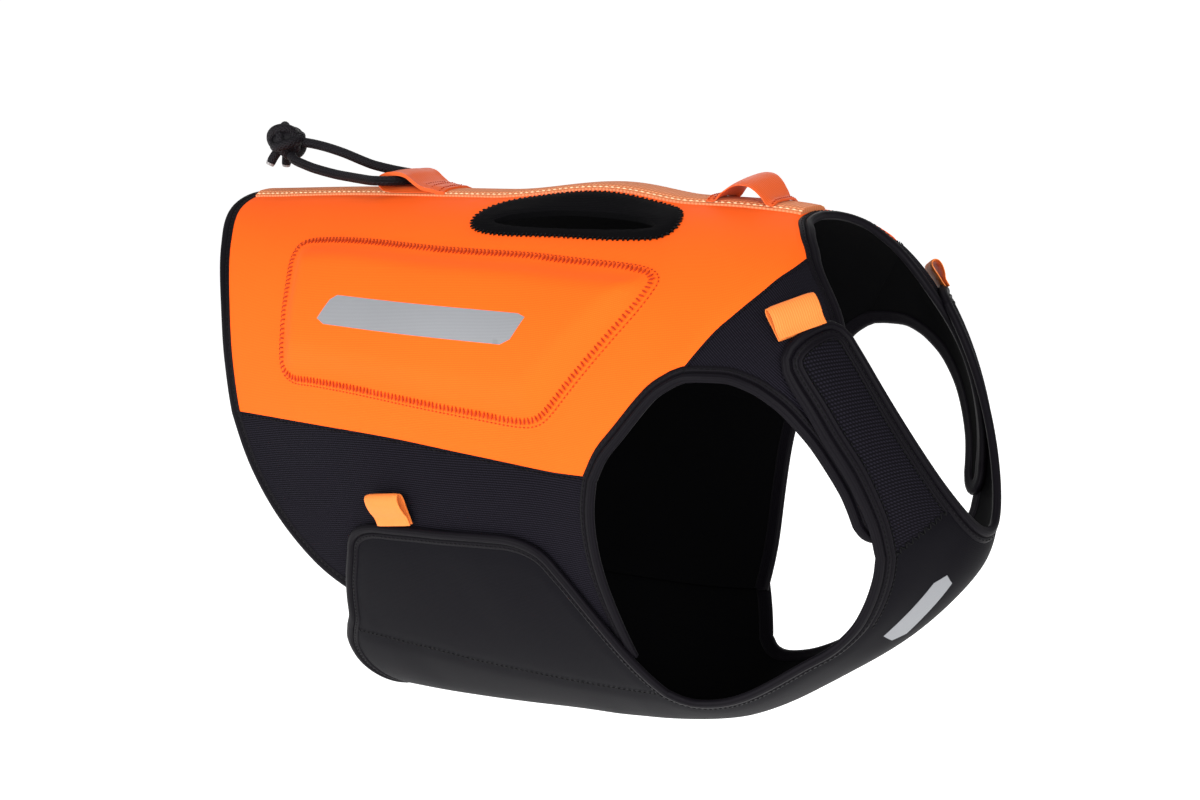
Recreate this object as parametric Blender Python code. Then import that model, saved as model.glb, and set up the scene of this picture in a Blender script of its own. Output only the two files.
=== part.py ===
"""Neoprene vest for a large dog, hollow, in the pose it has when worn.

All sizes here are millimetres; add_solid writes metres. +X points to the dog's head, +Y to its
left and +Z up, and the vest is symmetric about y = 0. The origin is on the inner face of the
back, under the spine, where the wearer carries it.

The cloth lies on one form, a loft through STATIONS. A place on it is (t, a): t counts stations
from the rear hem to the neck, and a is the angle round the body in degrees, 0 at the spine, 90 at
the side and 180 at the belly. Angles below are for one side, and the other side mirrors them.
"""
import math

import bmesh
import bpy
import numpy as np
from mathutils import Vector
from mathutils.geometry import delaunay_2d_cdt

MM = 0.001

# Driving sizes
CLOTH = 2.8              # neoprene with its two face fabrics
SEAM_GAP = 0.3           # between two pieces sewn edge to edge
LAY_GAP = 0.8            # under a piece that lies on another one
BINDING_WIDTH = 7.0      # folded tape round every free edge
BINDING_ROUND = 1.4      # how much the tape's free edge is rounded
WEBBING_WIDTH = 25.0
WEBBING = 1.8
PAD_HEIGHT = 7.0         # foam pad in its middle
PAD_RIM = 1.2            # foam pad at its stitched edge
PAD_RAMP = 17.0          # distance over which the pad rises
HANDLE_RISE = 5.0        # how far the handle stands up from the back
HANDLE_T = 2.93          # station of the handle's middle
HANDLE_REACH = 0.85      # stations from there to where it has sunk back
HANDLE_HALF = 7.0        # degrees from the spine over which it keeps its rise
HANDLE_FADE = 10.0       # degrees over which the rise then fades
CORD = 5.6
KNOT = 22.5
TAIL = 6.0               # cut ends of the cord beyond its knot
LEASH_TILT = 0.22        # the leash loop stands this share higher on the left, lower on the right

# Mesh sizes
EDGE_STEP = 11.0
TIGHT_STEP = 5.0         # on edges that turn sharply
TIP_STEP = 2.0           # round the tip of the tongue
GRID_STEP = 17.0
PAD_STEP = 12.0
FRONT_STEP = 8.0         # in the pieces that bend round the shoulder

# Stations of the form: spine point, belly point, half width, fullness above the middle, forward bow
STATIONS = [
    # t_x, t_z,  b_x,  b_z, half,  egg, bow
    (-206, -8, -116, -291, 77, 0.15, 0),
    (-120, -2, -47, -287, 91, 0.20, 0),
    (-31, 2, 23, -280, 98, 0.22, 0),
    (54, 6, 98, -270, 101, 0.20, 0),
    (114, 7, 153, -254, 107, 0.10, 1),
    (147, 7, 196, -226, 103, 0.12, 1),
    (166, 6, 231, -198, 90, 0.22, 2),
    (177, 4, 259, -165, 74, 0.32, 6),
    (184, 2, 267, -141, 44, 0.36, 8),
]

# Cut edges of the saddle, in (t, a)
SPINE_LINE = [(0.04, 0), (6.20, 0)]
BACK_NECK = [(6.20, 0), (6.38, 10), (6.90, 18), (7.34, 28), (7.46, 34)]
TONGUE_SEAM = [(7.46, 34), (7.08, 38), (6.64, 41.5), (6.12, 46.5), (5.62, 51.5), (5.22, 55.8),
               (4.74, 63.4)]
BACK_LEG = [(4.74, 63.4), (4.50, 64.2), (4.18, 67.2), (3.78, 75.5), (3.58, 80), (3.42, 85.5)]
FLANK_SEAM = [(3.42, 85.5), (3.06, 84.8), (2.44, 82.5), (1.82, 80.5), (1.10, 79.5), (0.21, 79)]
BACK_HEM = [(0.21, 79), (0.24, 67), (0.24, 52), (0.15, 34), (0.05, 18), (0.04, 0)]
FLANK_FRONT = [(3.42, 85.5), (3.33, 92), (3.27, 99), (3.23, 108), (3.21, 120), (3.18, 131)]
FLANK_LOW = [(3.18, 131), (2.40, 129.5), (1.70, 127.5), (1.10, 124)]
FLANK_HEM = [(1.10, 124), (0.79, 118), (0.56, 112), (0.36, 102), (0.25, 91), (0.21, 79)]
TONGUE_LEG = [(4.74, 63.4), (5.04, 64), (5.56, 66), (5.96, 69.8), (6.20, 73.6), (6.42, 79),
              (6.56, 85), (6.66, 92), (6.70, 100), (6.70, 108), (6.66, 114), (6.61, 119)]
TONGUE_TIP = [(6.61, 119), (6.62, 122), (6.68, 123.8), (6.75, 122.2), (6.79, 119)]
TONGUE_NECK = [(7.46, 34), (7.58, 42), (7.68, 51), (7.70, 60), (7.58, 69), (7.38, 79), (7.21, 89),
               (7.08, 99), (6.97, 108), (6.88, 114), (6.79, 119)]

# Cut edges of the harness that closes round it: flap, belly, chest and strap
FLAP_TOP = [(0.57, 133.5), (0.69, 129), (0.80, 123), (0.93, 116.5), (1.08, 110), (1.18, 105.6),
            (1.34, 103.4), (1.60, 103), (2.00, 102.6), (2.40, 102.2), (2.62, 102.4), (2.78, 104.4),
            (2.87, 108.4), (2.96, 113.6), (3.08, 122), (3.18, 131), (3.25, 138), (3.32, 145.5)]
BELLY_SEAM = [(3.32, 145.5), (2.84, 143.5), (2.34, 141), (1.80, 138.5), (1.34, 136), (0.57, 133.5)]
BELLY_REAR = [(0.57, 133.5), (0.43, 140), (0.34, 150), (0.34, 160), (0.38, 170), (0.40, 180)]
BELLY_LEG = [(3.32, 145.5), (3.44, 150.4), (3.62, 153.8), (3.90, 155.2), (4.20, 155.2), (4.64, 154.6),
             (5.00, 154.4), (5.36, 154.4), (5.76, 151), (6.10, 145.4), (6.40, 138.4), (6.60, 132)]
STRAP_SEAM = [(6.60, 132), (7.10, 133), (7.68, 136)]
STRAP_TOP = [(6.60, 132), (6.78, 120), (6.88, 105), (6.86, 92), (6.83, 83), (6.76, 75),
             (6.74, 70.6), (6.84, 68.2), (7.10, 66.4), (7.38, 66), (7.54, 67), (7.62, 70)]
STRAP_NECK = [(7.62, 70), (7.66, 80), (7.67, 95), (7.67, 110), (7.67, 124), (7.68, 136)]
CHEST_NECK = [(7.68, 136), (7.69, 147), (7.70, 158), (7.71, 169), (7.72, 180)]

# Closed outlines on the back
PAD = [(0.86, 38), (0.92, 32.6), (1.12, 31), (1.52, 31), (1.96, 32.2), (2.36, 33), (2.76, 33.6),
       (3.20, 34.8), (3.66, 35.6), (3.90, 36.4), (4.05, 38), (4.11, 41), (3.98, 48), (3.70, 57),
       (3.36, 67), (3.15, 73), (3.02, 75.2), (2.84, 75.6), (2.48, 74.4), (1.64, 71.6), (1.18, 70.6),
       (0.93, 70.2), (0.83, 67), (0.85, 58), (0.87, 47)]
TRIM_OUTER = [(2.19, 20), (2.22, 14), (2.32, 9.6), (2.52, 8.2), (2.92, 7.8), (3.32, 8), (3.62, 9),
              (3.82, 12.4), (3.94, 18), (3.94, 22.6), (3.80, 25.8), (3.42, 27.2), (2.90, 27),
              (2.46, 26.8), (2.26, 24.8)]
HANDLE_HOLE = [(2.36, 21.5), (2.48, 18), (2.74, 16), (3.10, 16), (3.44, 17), (3.65, 19),
               (3.74, 21.4), (3.58, 23.2), (3.36, 24), (3.00, 24.4), (2.66, 24.2), (2.46, 23.4)]

# Loops of webbing on the spine: distance along it and height over it, of the tape's middle
LEASH_LOOP = [(113.5, 1.1), (118.5, 1.4), (123.5, 5.4), (128.5, 9.2), (133.5, 10.8), (138.5, 10.2),
              (142.5, 7.6), (146.0, 3.8), (148.8, 1.5), (152.5, 1.1)]
REAR_LOOP = [(-60.0, 3.1), (-68.0, 3.1), (-74.5, 3.4), (-78.5, 5.8), (-82.5, 8.6), (-88.0, 9.9),
             (-95.0, 9.6), (-100.6, 7.9), (-103.2, 4.9), (-101.6, 2.3), (-96.0, 1.2), (-84.0, 1.1),
             (-72.0, 1.1), (-60.0, 1.1)]
LOOP_SPACING = 0.6       # share of a row between two sections of a loop

# Pull tabs: place of the root's middle, length, and turn towards the head
TABS = {
    # name: t, a, length, twist in degrees
    "shoulder_tab": (6.98, 60.8, 17.0, -12.0),
    "flap_tab": (1.64, 98.3, 17.0, 0.0),
}
TAB_FOLD = 6.4           # outer height of a tab at its fold
TAB_LIFT = 0.8

# Cord through the rear loop, from the knot to the loop and back
CORD_ROUTE = [(-175.8, -6.2, 16.2), (-171.5, -8.0, 14.0), (-164, -9.2, 12.2), (-154, -10.0, 10.1),
              (-138, -11.0, 7.9), (-124, -12.6, 7.0), (-112, -16.0, 6.8), (-104, -18.4, 6.8),
              (-97.5, -18.6, 7.0), (-91.5, -14.8, 7.0), (-89.0, -7.0, 7.0), (-89.0, 7.0, 7.0),
              (-91.5, 14.8, 7.0), (-97.5, 18.6, 7.4), (-105, 17.6, 8.0), (-115, 14.2, 9.6),
              (-125.5, 10.0, 12.0), (-132, 6.6, 14.6), (-143, 4.2, 18.4), (-155, 3.2, 21.2),
              (-165, 2.6, 22.8), (-172.1, 1.2, 23.7)]
CORD_POINTS = 30
KNOT_CENTRE = (-183.5, -1.0, 24.3)
TAIL_DIRECTIONS = {"cord_tail_right": (-0.62, -0.30, -0.72), "cord_tail_left": (-0.45, 0.40, -0.80)}

ORANGE = ((0.90, 0.16, 0.03), 0.62)
PALE_ORANGE = ((0.95, 0.36, 0.16), 0.75)
BLACK = ((0.012, 0.012, 0.014), 0.68)
RIB_BLACK = ((0.015, 0.015, 0.017), 0.85)


def spline(rows, u):
    """Catmull-Rom curve through the rows at u, which counts rows from 0 and may run just past them."""
    rows = np.asarray(rows, float)
    last = len(rows) - 1
    u = np.asarray(u, float)
    i = np.clip(np.floor(u).astype(int), 0, last - 1)
    f = (u - i)[..., None]
    p1, p2 = rows[i], rows[i + 1]
    p0 = np.where((i == 0)[..., None], 2 * p1 - p2, rows[np.maximum(i - 1, 0)])
    p3 = np.where((i == last - 1)[..., None], 2 * p2 - p1, rows[np.minimum(i + 2, last)])
    return 0.5 * (2 * p1 + (p2 - p0) * f + (2 * p0 - 5 * p1 + 4 * p2 - p3) * f ** 2
                  + (3 * p1 - p0 - 3 * p2 + p3) * f ** 3)


def smooth(x):
    """A ramp from 0 to 1 with level ends."""
    x = np.clip(x, 0, 1)
    return x * x * (3 - 2 * x)


def handle_lift(t, a):
    """How far the handle pulls the back up between its two openings."""
    along = np.clip(abs(t - HANDLE_T) / HANDLE_REACH, 0, 1)
    return HANDLE_RISE * np.cos(along * math.pi / 2) ** 2 * (1 - smooth((abs(a) - HANDLE_HALF) / HANDLE_FADE))


def form(t, a):
    """Point of the form at station t and signed angle a; the dog's left is positive."""
    t, a = np.broadcast_arrays(np.asarray(t, float), np.asarray(a, float))
    tx, tz, bx, bz, half, egg, bow = np.moveaxis(spline(STATIONS, t), -1, 0)
    c, s = np.cos(np.radians(a)), np.sin(np.radians(a))
    x = (tx + bx) / 2 + (tx - bx) / 2 * c + bow * s * s
    y = half * s * (1 + egg * c)
    z = (tz + bz) / 2 + (tz - bz) / 2 * c + handle_lift(t, a)
    return np.stack([x, y, z], -1)


def outward(t, a):
    """Unit normal of the form, away from the wearer."""
    dt, da = 0.01, 0.5
    along = form(np.asarray(t) + dt, a) - form(np.asarray(t) - dt, a)
    around = form(t, np.asarray(a) + da) - form(t, np.asarray(a) - da)
    n = np.cross(along, around)
    return n / np.linalg.norm(n, axis=-1, keepdims=True)


def run(rows, step=EDGE_STEP):
    """Evenly spaced (t, a) places on the smooth curve through the rows."""
    u = np.linspace(0, len(rows) - 1, SAMPLES * len(rows))
    fine = spline(rows, u)
    xyz = form(fine[:, 0], fine[:, 1])
    length = np.concatenate([[0], np.cumsum(np.linalg.norm(np.diff(xyz, axis=0), axis=1))])
    count = max(2, round(length[-1] / step) + 1)
    at = np.interp(np.linspace(0, length[-1], count), length, u)
    return spline(rows, at)


def ring(rows, step=EDGE_STEP):
    """Evenly spaced places on the smooth closed curve through the rows."""
    rows = list(rows)
    wrapped = rows[-2:] + rows + rows[:3]
    u = np.linspace(2, len(rows) + 2, SAMPLES * len(rows))
    fine = spline(wrapped, u)
    xyz = form(fine[:, 0], fine[:, 1])
    length = np.concatenate([[0], np.cumsum(np.linalg.norm(np.diff(xyz, axis=0), axis=1))])
    count = max(8, round(length[-1] / step))
    at = np.interp(np.linspace(0, length[-1], count + 1)[:-1], length, u)
    return spline(wrapped, at)


def chain(*runs):
    """One path from runs that meet end to end; each may be given in either direction."""
    path = runs[0]
    for nxt in runs[1:]:
        if np.linalg.norm(nxt[0] - path[-1]) > np.linalg.norm(nxt[-1] - path[-1]):
            nxt = nxt[::-1]
        path = np.vstack([path, nxt[1:]])
    return path


def mirrored(path):
    """The same path on the other side."""
    return path * np.array([1.0, -1.0])


def other_side(path):
    """The same path past the belly line, its angle still counting up."""
    return np.stack([path[:, 0], 360 - path[:, 1]], -1)


SIDE_REACH = np.concatenate([[0], np.cumsum(np.linalg.norm(
    np.diff(form(np.arange(len(STATIONS)), 90.0), axis=0), axis=1))])
ARC_PER_DEGREE = 1.75    # millimetres round the body, on average
SAMPLES = 40             # fine points per row where a curve is measured


def flat(path):
    """The places laid out roughly in millimetres, for the triangulation only."""
    t = np.interp(path[:, 0], np.arange(len(STATIONS)), SIDE_REACH)
    return np.stack([t, path[:, 1] * ARC_PER_DEGREE], -1)


def unflat(uv):
    """Back from the layout to (t, a)."""
    t = np.interp(uv[:, 0], SIDE_REACH, np.arange(len(STATIONS)))
    return np.stack([t, uv[:, 1] / ARC_PER_DEGREE], -1)


def inside(poly, p):
    """Whether the layout point p is inside the polygon."""
    x, y = poly[:, 0], poly[:, 1]
    x2, y2 = np.roll(x, -1), np.roll(y, -1)
    crosses = (y > p[1]) != (y2 > p[1])
    with np.errstate(divide="ignore", invalid="ignore"):
        at = x + (p[1] - y) / (y2 - y) * (x2 - x)
    return bool(np.count_nonzero(crosses & (p[0] < at)) % 2)


def edge_distance(poly, p):
    """Distance from the layout point p to the polygon's outline."""
    a, b = poly, np.roll(poly, -1, axis=0)
    ab = b - a
    f = np.clip(((p - a) * ab).sum(1) / np.maximum((ab * ab).sum(1), 1e-9), 0, 1)
    return np.linalg.norm(a + ab * f[:, None] - p, axis=1).min()


def edge_shift(path, closed):
    """Unit vectors in the cloth at right angles to the path, to the left of its direction."""
    xyz = form(path[:, 0], path[:, 1])
    if closed:
        along = np.roll(xyz, -1, axis=0) - np.roll(xyz, 1, axis=0)
    else:
        along = np.gradient(xyz, axis=0)
    side = np.cross(outward(path[:, 0], path[:, 1]), along)
    return side / np.linalg.norm(side, axis=1, keepdims=True)


def beside(path, shift):
    """The places that a small shift in the cloth, in millimetres, leads to from the path."""
    t, a = path[:, 0], path[:, 1]
    along = (form(t + 0.01, a) - form(t - 0.01, a)) / 0.02
    around = (form(t, a + 0.5) - form(t, a - 0.5)) / 1.0
    places = []
    for place, move, p, q in zip(path, shift, along, around):
        places.append(place + np.linalg.lstsq(np.stack([p, q], 1), move, rcond=None)[0])
    return np.array(places)


def material(name, look):
    """The shared material of that name, made on first use."""
    found = bpy.data.materials.get(name)
    if found:
        return found
    colour, roughness = look
    mat = bpy.data.materials.new(name)
    mat.use_nodes = True
    shader = mat.node_tree.nodes["Principled BSDF"]
    shader.inputs["Base Color"].default_value = (*colour, 1.0)
    shader.inputs["Roughness"].default_value = roughness
    shader.inputs["Metallic"].default_value = 0.0
    mat.diffuse_color = (*colour, 1.0)
    return mat


def add_solid(name, points, faces, mat):
    """One closed object from points in millimetres."""
    mesh = bpy.data.meshes.new(name)
    mesh.from_pydata([Vector(p) * MM for p in np.asarray(points).tolist()], [], faces)
    bm = bmesh.new()
    bm.from_mesh(mesh)
    bmesh.ops.triangulate(bm, faces=bm.faces)
    bmesh.ops.recalc_face_normals(bm, faces=bm.faces)
    if bm.calc_volume(signed=True) < 0:
        bmesh.ops.reverse_faces(bm, faces=bm.faces)
    bm.to_mesh(mesh)
    bm.free()
    mesh.shade_smooth()
    mesh.set_sharp_from_angle(angle=math.radians(40))
    mesh.materials.append(mat)
    obj = bpy.data.objects.new(name, mesh)
    bpy.context.collection.objects.link(obj)
    return obj


def add_sheet(name, outline, low, high, mat, holes=(), step=GRID_STEP):
    """A panel of cloth inside a closed outline; low and high are heights over the form.

    high may be a function of the distance to the outline.
    """
    loops = [outline, *holes]
    boundary = [flat(loop) for loop in loops]
    spots = np.vstack(boundary)
    links = []
    start = 0
    for loop in loops:
        links += [(start + k, start + (k + 1) % len(loop)) for k in range(len(loop))]
        start += len(loop)

    def in_cloth(p):
        return inside(boundary[0], p) and not any(inside(hole, p) for hole in boundary[1:])

    low_uv, high_uv = boundary[0].min(axis=0), boundary[0].max(axis=0)
    grid = []
    for u in np.arange(math.ceil(low_uv[0] / step), high_uv[0] / step) * step:
        for v in np.arange(math.ceil(low_uv[1] / step), high_uv[1] / step) * step:
            p = np.array([u, v])
            if in_cloth(p) and min(edge_distance(loop, p) for loop in boundary) > 0.5 * step:
                grid.append(p)
    uv = np.vstack([spots, grid]) if grid else spots
    out = delaunay_2d_cdt([Vector(p) for p in uv.tolist()], links, [], 0, 1e-5)
    flat_points, faces = np.array([tuple(p) for p in out[0]]), out[2]
    faces = [f for f in faces if in_cloth(flat_points[list(f)].mean(axis=0))]

    place = unflat(flat_points)
    middle = form(place[:, 0], place[:, 1])
    normal = outward(place[:, 0], place[:, 1])
    origins = out[3]
    start = 0
    shift = np.zeros((len(spots), 3))
    for index, loop in enumerate(loops):
        side = edge_shift(loop, True)
        area = np.cross(boundary[index], np.roll(boundary[index], -1, axis=0)).sum()
        turn = (1 if area > 0 else -1) * (1 if index == 0 else -1)
        shift[start:start + len(loop)] = side * turn * SEAM_GAP / 2
        start += len(loop)
    for k, source in enumerate(origins):
        if source and source[0] < len(spots):
            middle[k] += shift[source[0]]

    if callable(high):
        outer = np.array([high(edge_distance(boundary[0], p)) for p in flat_points])[:, None]
    else:
        outer = high
    count = len(middle)
    points = np.vstack([middle + normal * outer, middle + normal * low])
    used = {}
    solid = []
    for f in faces:
        solid.append(tuple(f))
        solid.append(tuple(k + count for k in reversed(f)))
        for a, b in zip(f, f[1:] + f[:1]):
            used[(a, b)] = True
    for a, b in used:
        if (b, a) not in used:
            solid.append((a, a + count, b + count, b))
    keep = sorted({k for f in solid for k in f})
    index = {old: new for new, old in enumerate(keep)}
    return add_solid(name, points[keep], [tuple(index[k] for k in f) for f in solid], mat)


def add_tube(name, sections, mat, closed=False):
    """A solid through sections that all have the same number of points."""
    points = np.vstack(sections)
    count, size = len(sections), len(sections[0])
    faces = []
    for k in range(count if closed else count - 1):
        nxt = (k + 1) % count
        for j in range(size):
            j2 = (j + 1) % size
            faces.append((k * size + j, k * size + j2, nxt * size + j2, nxt * size + j))
    if not closed:
        faces.append(tuple(range(size - 1, -1, -1)))
        faces.append(tuple((count - 1) * size + j for j in range(size)))
    return add_solid(name, points, faces, mat)


def add_bindings(pieces, base, side, mat, closed=False):
    """Folded tape along a free edge, one object for each (name, path); the paths meet end to end.

    side is 1 where the tape lies to the left of the paths' direction.
    """
    path = chain(*[piece for _, piece in pieces])
    path = path[:-1] if closed else path
    away = edge_shift(path, closed) * side
    near, far, r = SEAM_GAP / 2, SEAM_GAP / 2 + BINDING_WIDTH, BINDING_ROUND
    profile = [(near, 0), (near, CLOTH), (far - r, CLOTH), (far, CLOTH - r), (far, r / 3), (far - r / 2, 0)]
    own = form(path[:, 0], path[:, 1])
    own_normal = outward(path[:, 0], path[:, 1])
    columns = []
    for w, h in profile:
        if w == near:
            columns.append(own + away * w + own_normal * (base + h))
        else:
            place = beside(path, away * w)
            normal = outward(place[:, 0], place[:, 1])
            columns.append(form(place[:, 0], place[:, 1]) + normal * (base + h))
    sections = np.stack(columns, 1)
    first = 0
    for name, piece in pieces:
        last = first + len(piece) - 1
        own_sections = sections[np.arange(first, last + 1) % len(path)].copy()
        for end, nxt in ((0, 1), (-1, -2)):
            step = own_sections[nxt].mean(axis=0) - own_sections[end].mean(axis=0)
            own_sections[end] += step / np.linalg.norm(step) * SEAM_GAP / 2
        add_tube(name, list(own_sections), mat)
        first = last


def spine_edge(t, y):
    """Angle at which the form is y wide of the spine at station t."""
    half, egg = spline(STATIONS, t)[..., 4], spline(STATIONS, t)[..., 5]
    return np.degrees(np.arcsin(y / (half * (1 + egg))))


def station_at(x):
    """Station whose spine point is at x."""
    t = np.linspace(0, len(STATIONS) - 1, 2000)
    return np.interp(x, spline(STATIONS, t)[:, 0], t)


def both_sides(make):
    """Call make once for each side, with the side's name and its mirror function."""
    make("left", lambda path: path)
    make("right", mirrored)


def add_saddle(cuts):
    """The back, flanks and shoulder tongues, edge to edge in one layer."""
    neoprene = material("orange neoprene", ORANGE)
    loop_cloth = material("black loop cloth", RIB_BLACK)
    back = chain(cuts["spine"], cuts["back_neck"], cuts["tongue_seam"], cuts["back_leg"],
                 cuts["flank_seam"], cuts["back_hem"])[:-1]
    flank = chain(cuts["flank_seam"], cuts["flank_hem"], cuts["flank_low"], cuts["flank_front"])[:-1]
    tongue = chain(cuts["tongue_seam"], cuts["tongue_leg"], cuts["tongue_tip"],
                   cuts["tongue_neck"])[:-1]
    opening = ring(TRIM_OUTER)

    def make(side, turn):
        add_sheet("back_panel_" + side, turn(back), -CLOTH, 0.0, neoprene, holes=[turn(opening)])
        add_sheet("flank_panel_" + side, turn(flank), -CLOTH, 0.0, loop_cloth)
        add_sheet("shoulder_tongue_" + side, turn(tongue), -CLOTH, 0.0, loop_cloth, step=FRONT_STEP)

    both_sides(make)


def add_handle_trim():
    """Black oval round each opening of the handle."""
    tape = material("black binding", BLACK)
    outer, inner = ring(TRIM_OUTER), ring(HANDLE_HOLE)

    def make(side, turn):
        add_sheet("handle_trim_" + side, turn(outer), -CLOTH, 0.0, tape, holes=[turn(inner)])

    both_sides(make)


def add_pads():
    """Raised foam pads on the two sides of the back."""
    neoprene = material("orange neoprene", ORANGE)

    def height(distance):
        return LAY_GAP + PAD_RIM + (PAD_HEIGHT - PAD_RIM) * float(smooth(distance / PAD_RAMP))

    def make(side, turn):
        add_sheet("float_pad_" + side, turn(ring(PAD)), LAY_GAP, height, neoprene, step=PAD_STEP)

    both_sides(make)


def add_harness(cuts):
    """Flaps, belly and chest piece, and straps, which close over the saddle."""
    neoprene = material("black neoprene", BLACK)
    loop_cloth = material("black loop cloth", RIB_BLACK)
    low, high = LAY_GAP, LAY_GAP + CLOTH
    half = [cuts["belly_rear"], cuts["belly_seam"], cuts["belly_leg"], cuts["strap_seam"],
            cuts["chest_neck"]]
    left = chain(half[0][::-1], *half[1:])
    right = other_side(left)[::-1]
    add_sheet("chest_and_belly", np.vstack([left[:-1], right[:-1]]), low, high, neoprene)
    flap = chain(cuts["flap_top"], cuts["belly_seam"])[:-1]
    strap = chain(cuts["strap_top"], cuts["strap_neck"], cuts["strap_seam"])[:-1]

    def make(side, turn):
        add_sheet("belly_flap_" + side, turn(flap), low, high, neoprene)
        add_sheet("chest_strap_" + side, turn(strap), low, high, loop_cloth, step=FRONT_STEP)

    both_sides(make)


def add_all_bindings(cuts):
    """Black tape round every free edge of the saddle and of the harness."""
    tape = material("black binding", BLACK)
    hem = chain(cuts["flank_hem"], cuts["back_hem"])
    leg = chain(cuts["flank_front"][::-1], cuts["back_leg"], cuts["tongue_leg"])
    neck = chain(cuts["tongue_tip"], cuts["tongue_neck"], cuts["back_neck"])
    add_bindings([("hem_binding", chain(hem, mirrored(hem)[::-1]))], -CLOTH, -1, tape)
    add_bindings([("leg_binding_left", leg), ("neck_binding", chain(neck, mirrored(neck)[::-1])),
                  ("leg_binding_right", mirrored(leg)[::-1])], -CLOTH, 1, tape)
    rear, flap = cuts["belly_rear"], cuts["flap_top"]
    leg_edge = chain(cuts["belly_leg"], cuts["strap_top"])
    chest = chain(cuts["strap_neck"], cuts["chest_neck"])
    add_bindings([("flap_binding_left", flap), ("strap_binding_left", leg_edge),
                  ("chest_neck_binding", chain(chest, other_side(chest)[::-1])),
                  ("strap_binding_right", other_side(leg_edge)[::-1]),
                  ("flap_binding_right", other_side(flap)[::-1]),
                  ("belly_hem_binding", chain(other_side(rear), rear[::-1]))],
                 LAY_GAP, -1, tape, closed=True)


def add_webbing():
    """Webbing along the spine, and the two loops sewn on it."""
    webbing = material("orange webbing", PALE_ORANGE)
    across = np.linspace(-0.5, 0.5, 5) * WEBBING_WIDTH
    top = LAY_GAP + WEBBING

    def row(station, heights):
        """Points across the tape at one station, each at its own height over the form."""
        a = spine_edge(np.full(len(across), station), across)
        return form(station, a) + outward(station, a) * np.reshape(heights, (-1, 1))

    def band(low_station, low, high_station, high):
        return np.vstack([row(low_station, low), row(high_station, high)[::-1]])

    spine = run([(0.07, 0), (6.14, 0)])[:, 0]
    level = np.ones(len(across))
    add_tube("spine_webbing", [band(t, level * LAY_GAP, t, level * top) for t in spine], webbing)
    for name, rows, tilt in (("leash_loop", LEASH_LOOP, LEASH_TILT), ("rear_loop", REAR_LOOP, 0.0)):
        middle = spline(rows, np.arange(0, len(rows) - 1 + 1e-6, LOOP_SPACING))
        along = np.gradient(middle, axis=0)
        along /= np.linalg.norm(along, axis=1, keepdims=True)
        half = np.stack([-along[:, 1], along[:, 0]], -1) * WEBBING / 2
        sections = []
        for (x, h), (dx, dh) in zip(middle, half):
            lean = tilt * (h - rows[0][1]) * across / across[-1] + top + h
            sections.append(band(station_at(x - dx), lean - dh, station_at(x + dx), lean + dh))
        add_tube(name, sections, webbing)


def tab_profile(length):
    """Outline of a folded tab from the side, along its length and up, and its slot."""
    rise, wall = TAB_FOLD, WEBBING
    outer = [(0, 0), (0, 2 * wall + SEAM_GAP), (length * 0.5, rise * 0.86), (length * 0.8, rise),
             (length * 0.95, rise * 0.78), (length, rise * 0.45), (length * 0.94, rise * 0.1),
             (length * 0.8, 0)]
    slot = [(length * 0.2, wall), (length * 0.2, wall + SEAM_GAP), (length * 0.5, rise * 0.86 - wall),
            (length * 0.8, rise - wall), (length * 0.86, rise * 0.62), (length * 0.88, rise * 0.45),
            (length * 0.86, rise * 0.32), (length * 0.8, wall)]
    return outer, slot


def add_tab(name, t, a, length, twist, mat):
    """A short folded loop of webbing that points up from the edge it is sewn under."""
    hand = 1 if a > 0 else -1
    base, n = form(t, a), outward(t, a)
    up = form(t, a - 2 * hand) - base
    up -= n * up.dot(n)
    up /= np.linalg.norm(up)
    wide = np.cross(n, up)
    angle = math.radians(twist) * hand
    up, wide = up * math.cos(angle) + wide * math.sin(angle), wide * math.cos(angle) - up * math.sin(angle)
    outer, slot = tab_profile(length)
    rows = []
    for w in (-WEBBING_WIDTH / 2, WEBBING_WIDTH / 2):
        for profile in (outer, slot):
            rows.append([base + wide * w + up * u + n * (TAB_LIFT + h) for u, h in profile])
    size = len(outer)
    points = np.vstack(rows)
    faces = []
    for j in range(size):
        k = (j + 1) % size
        faces.append((j, k, size + k, size + j))
        faces.append((2 * size + j, 3 * size + j, 3 * size + k, 2 * size + k))
        faces.append((j, 2 * size + j, 2 * size + k, k))
        faces.append((size + j, size + k, 3 * size + k, 3 * size + j))
    return add_solid(name, points, faces, mat)


def add_tabs():
    """Orange pull tabs at the upper ends of the straps and flaps."""
    webbing = material("orange webbing", PALE_ORANGE)
    for name, (t, a, length, twist) in TABS.items():
        add_tab(name + "_left", t, a, length, twist, webbing)
        add_tab(name + "_right", t, -a, length, twist, webbing)


def add_curve_tube(name, route, points, mat):
    """A round cord through the route, as a curve with filled ends."""
    path = spline(route, np.linspace(0, len(route) - 1, points))
    curve = bpy.data.curves.new(name, "CURVE")
    curve.dimensions = "3D"
    curve.bevel_depth = CORD / 2 * MM
    curve.bevel_resolution = 2
    curve.use_fill_caps = True
    line = curve.splines.new("POLY")
    line.points.add(points - 1)
    for point, p in zip(line.points, path):
        point.co = (*(p * MM), 1.0)
    curve.materials.append(mat)
    obj = bpy.data.objects.new(name, curve)
    bpy.context.collection.objects.link(obj)
    return obj


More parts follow.
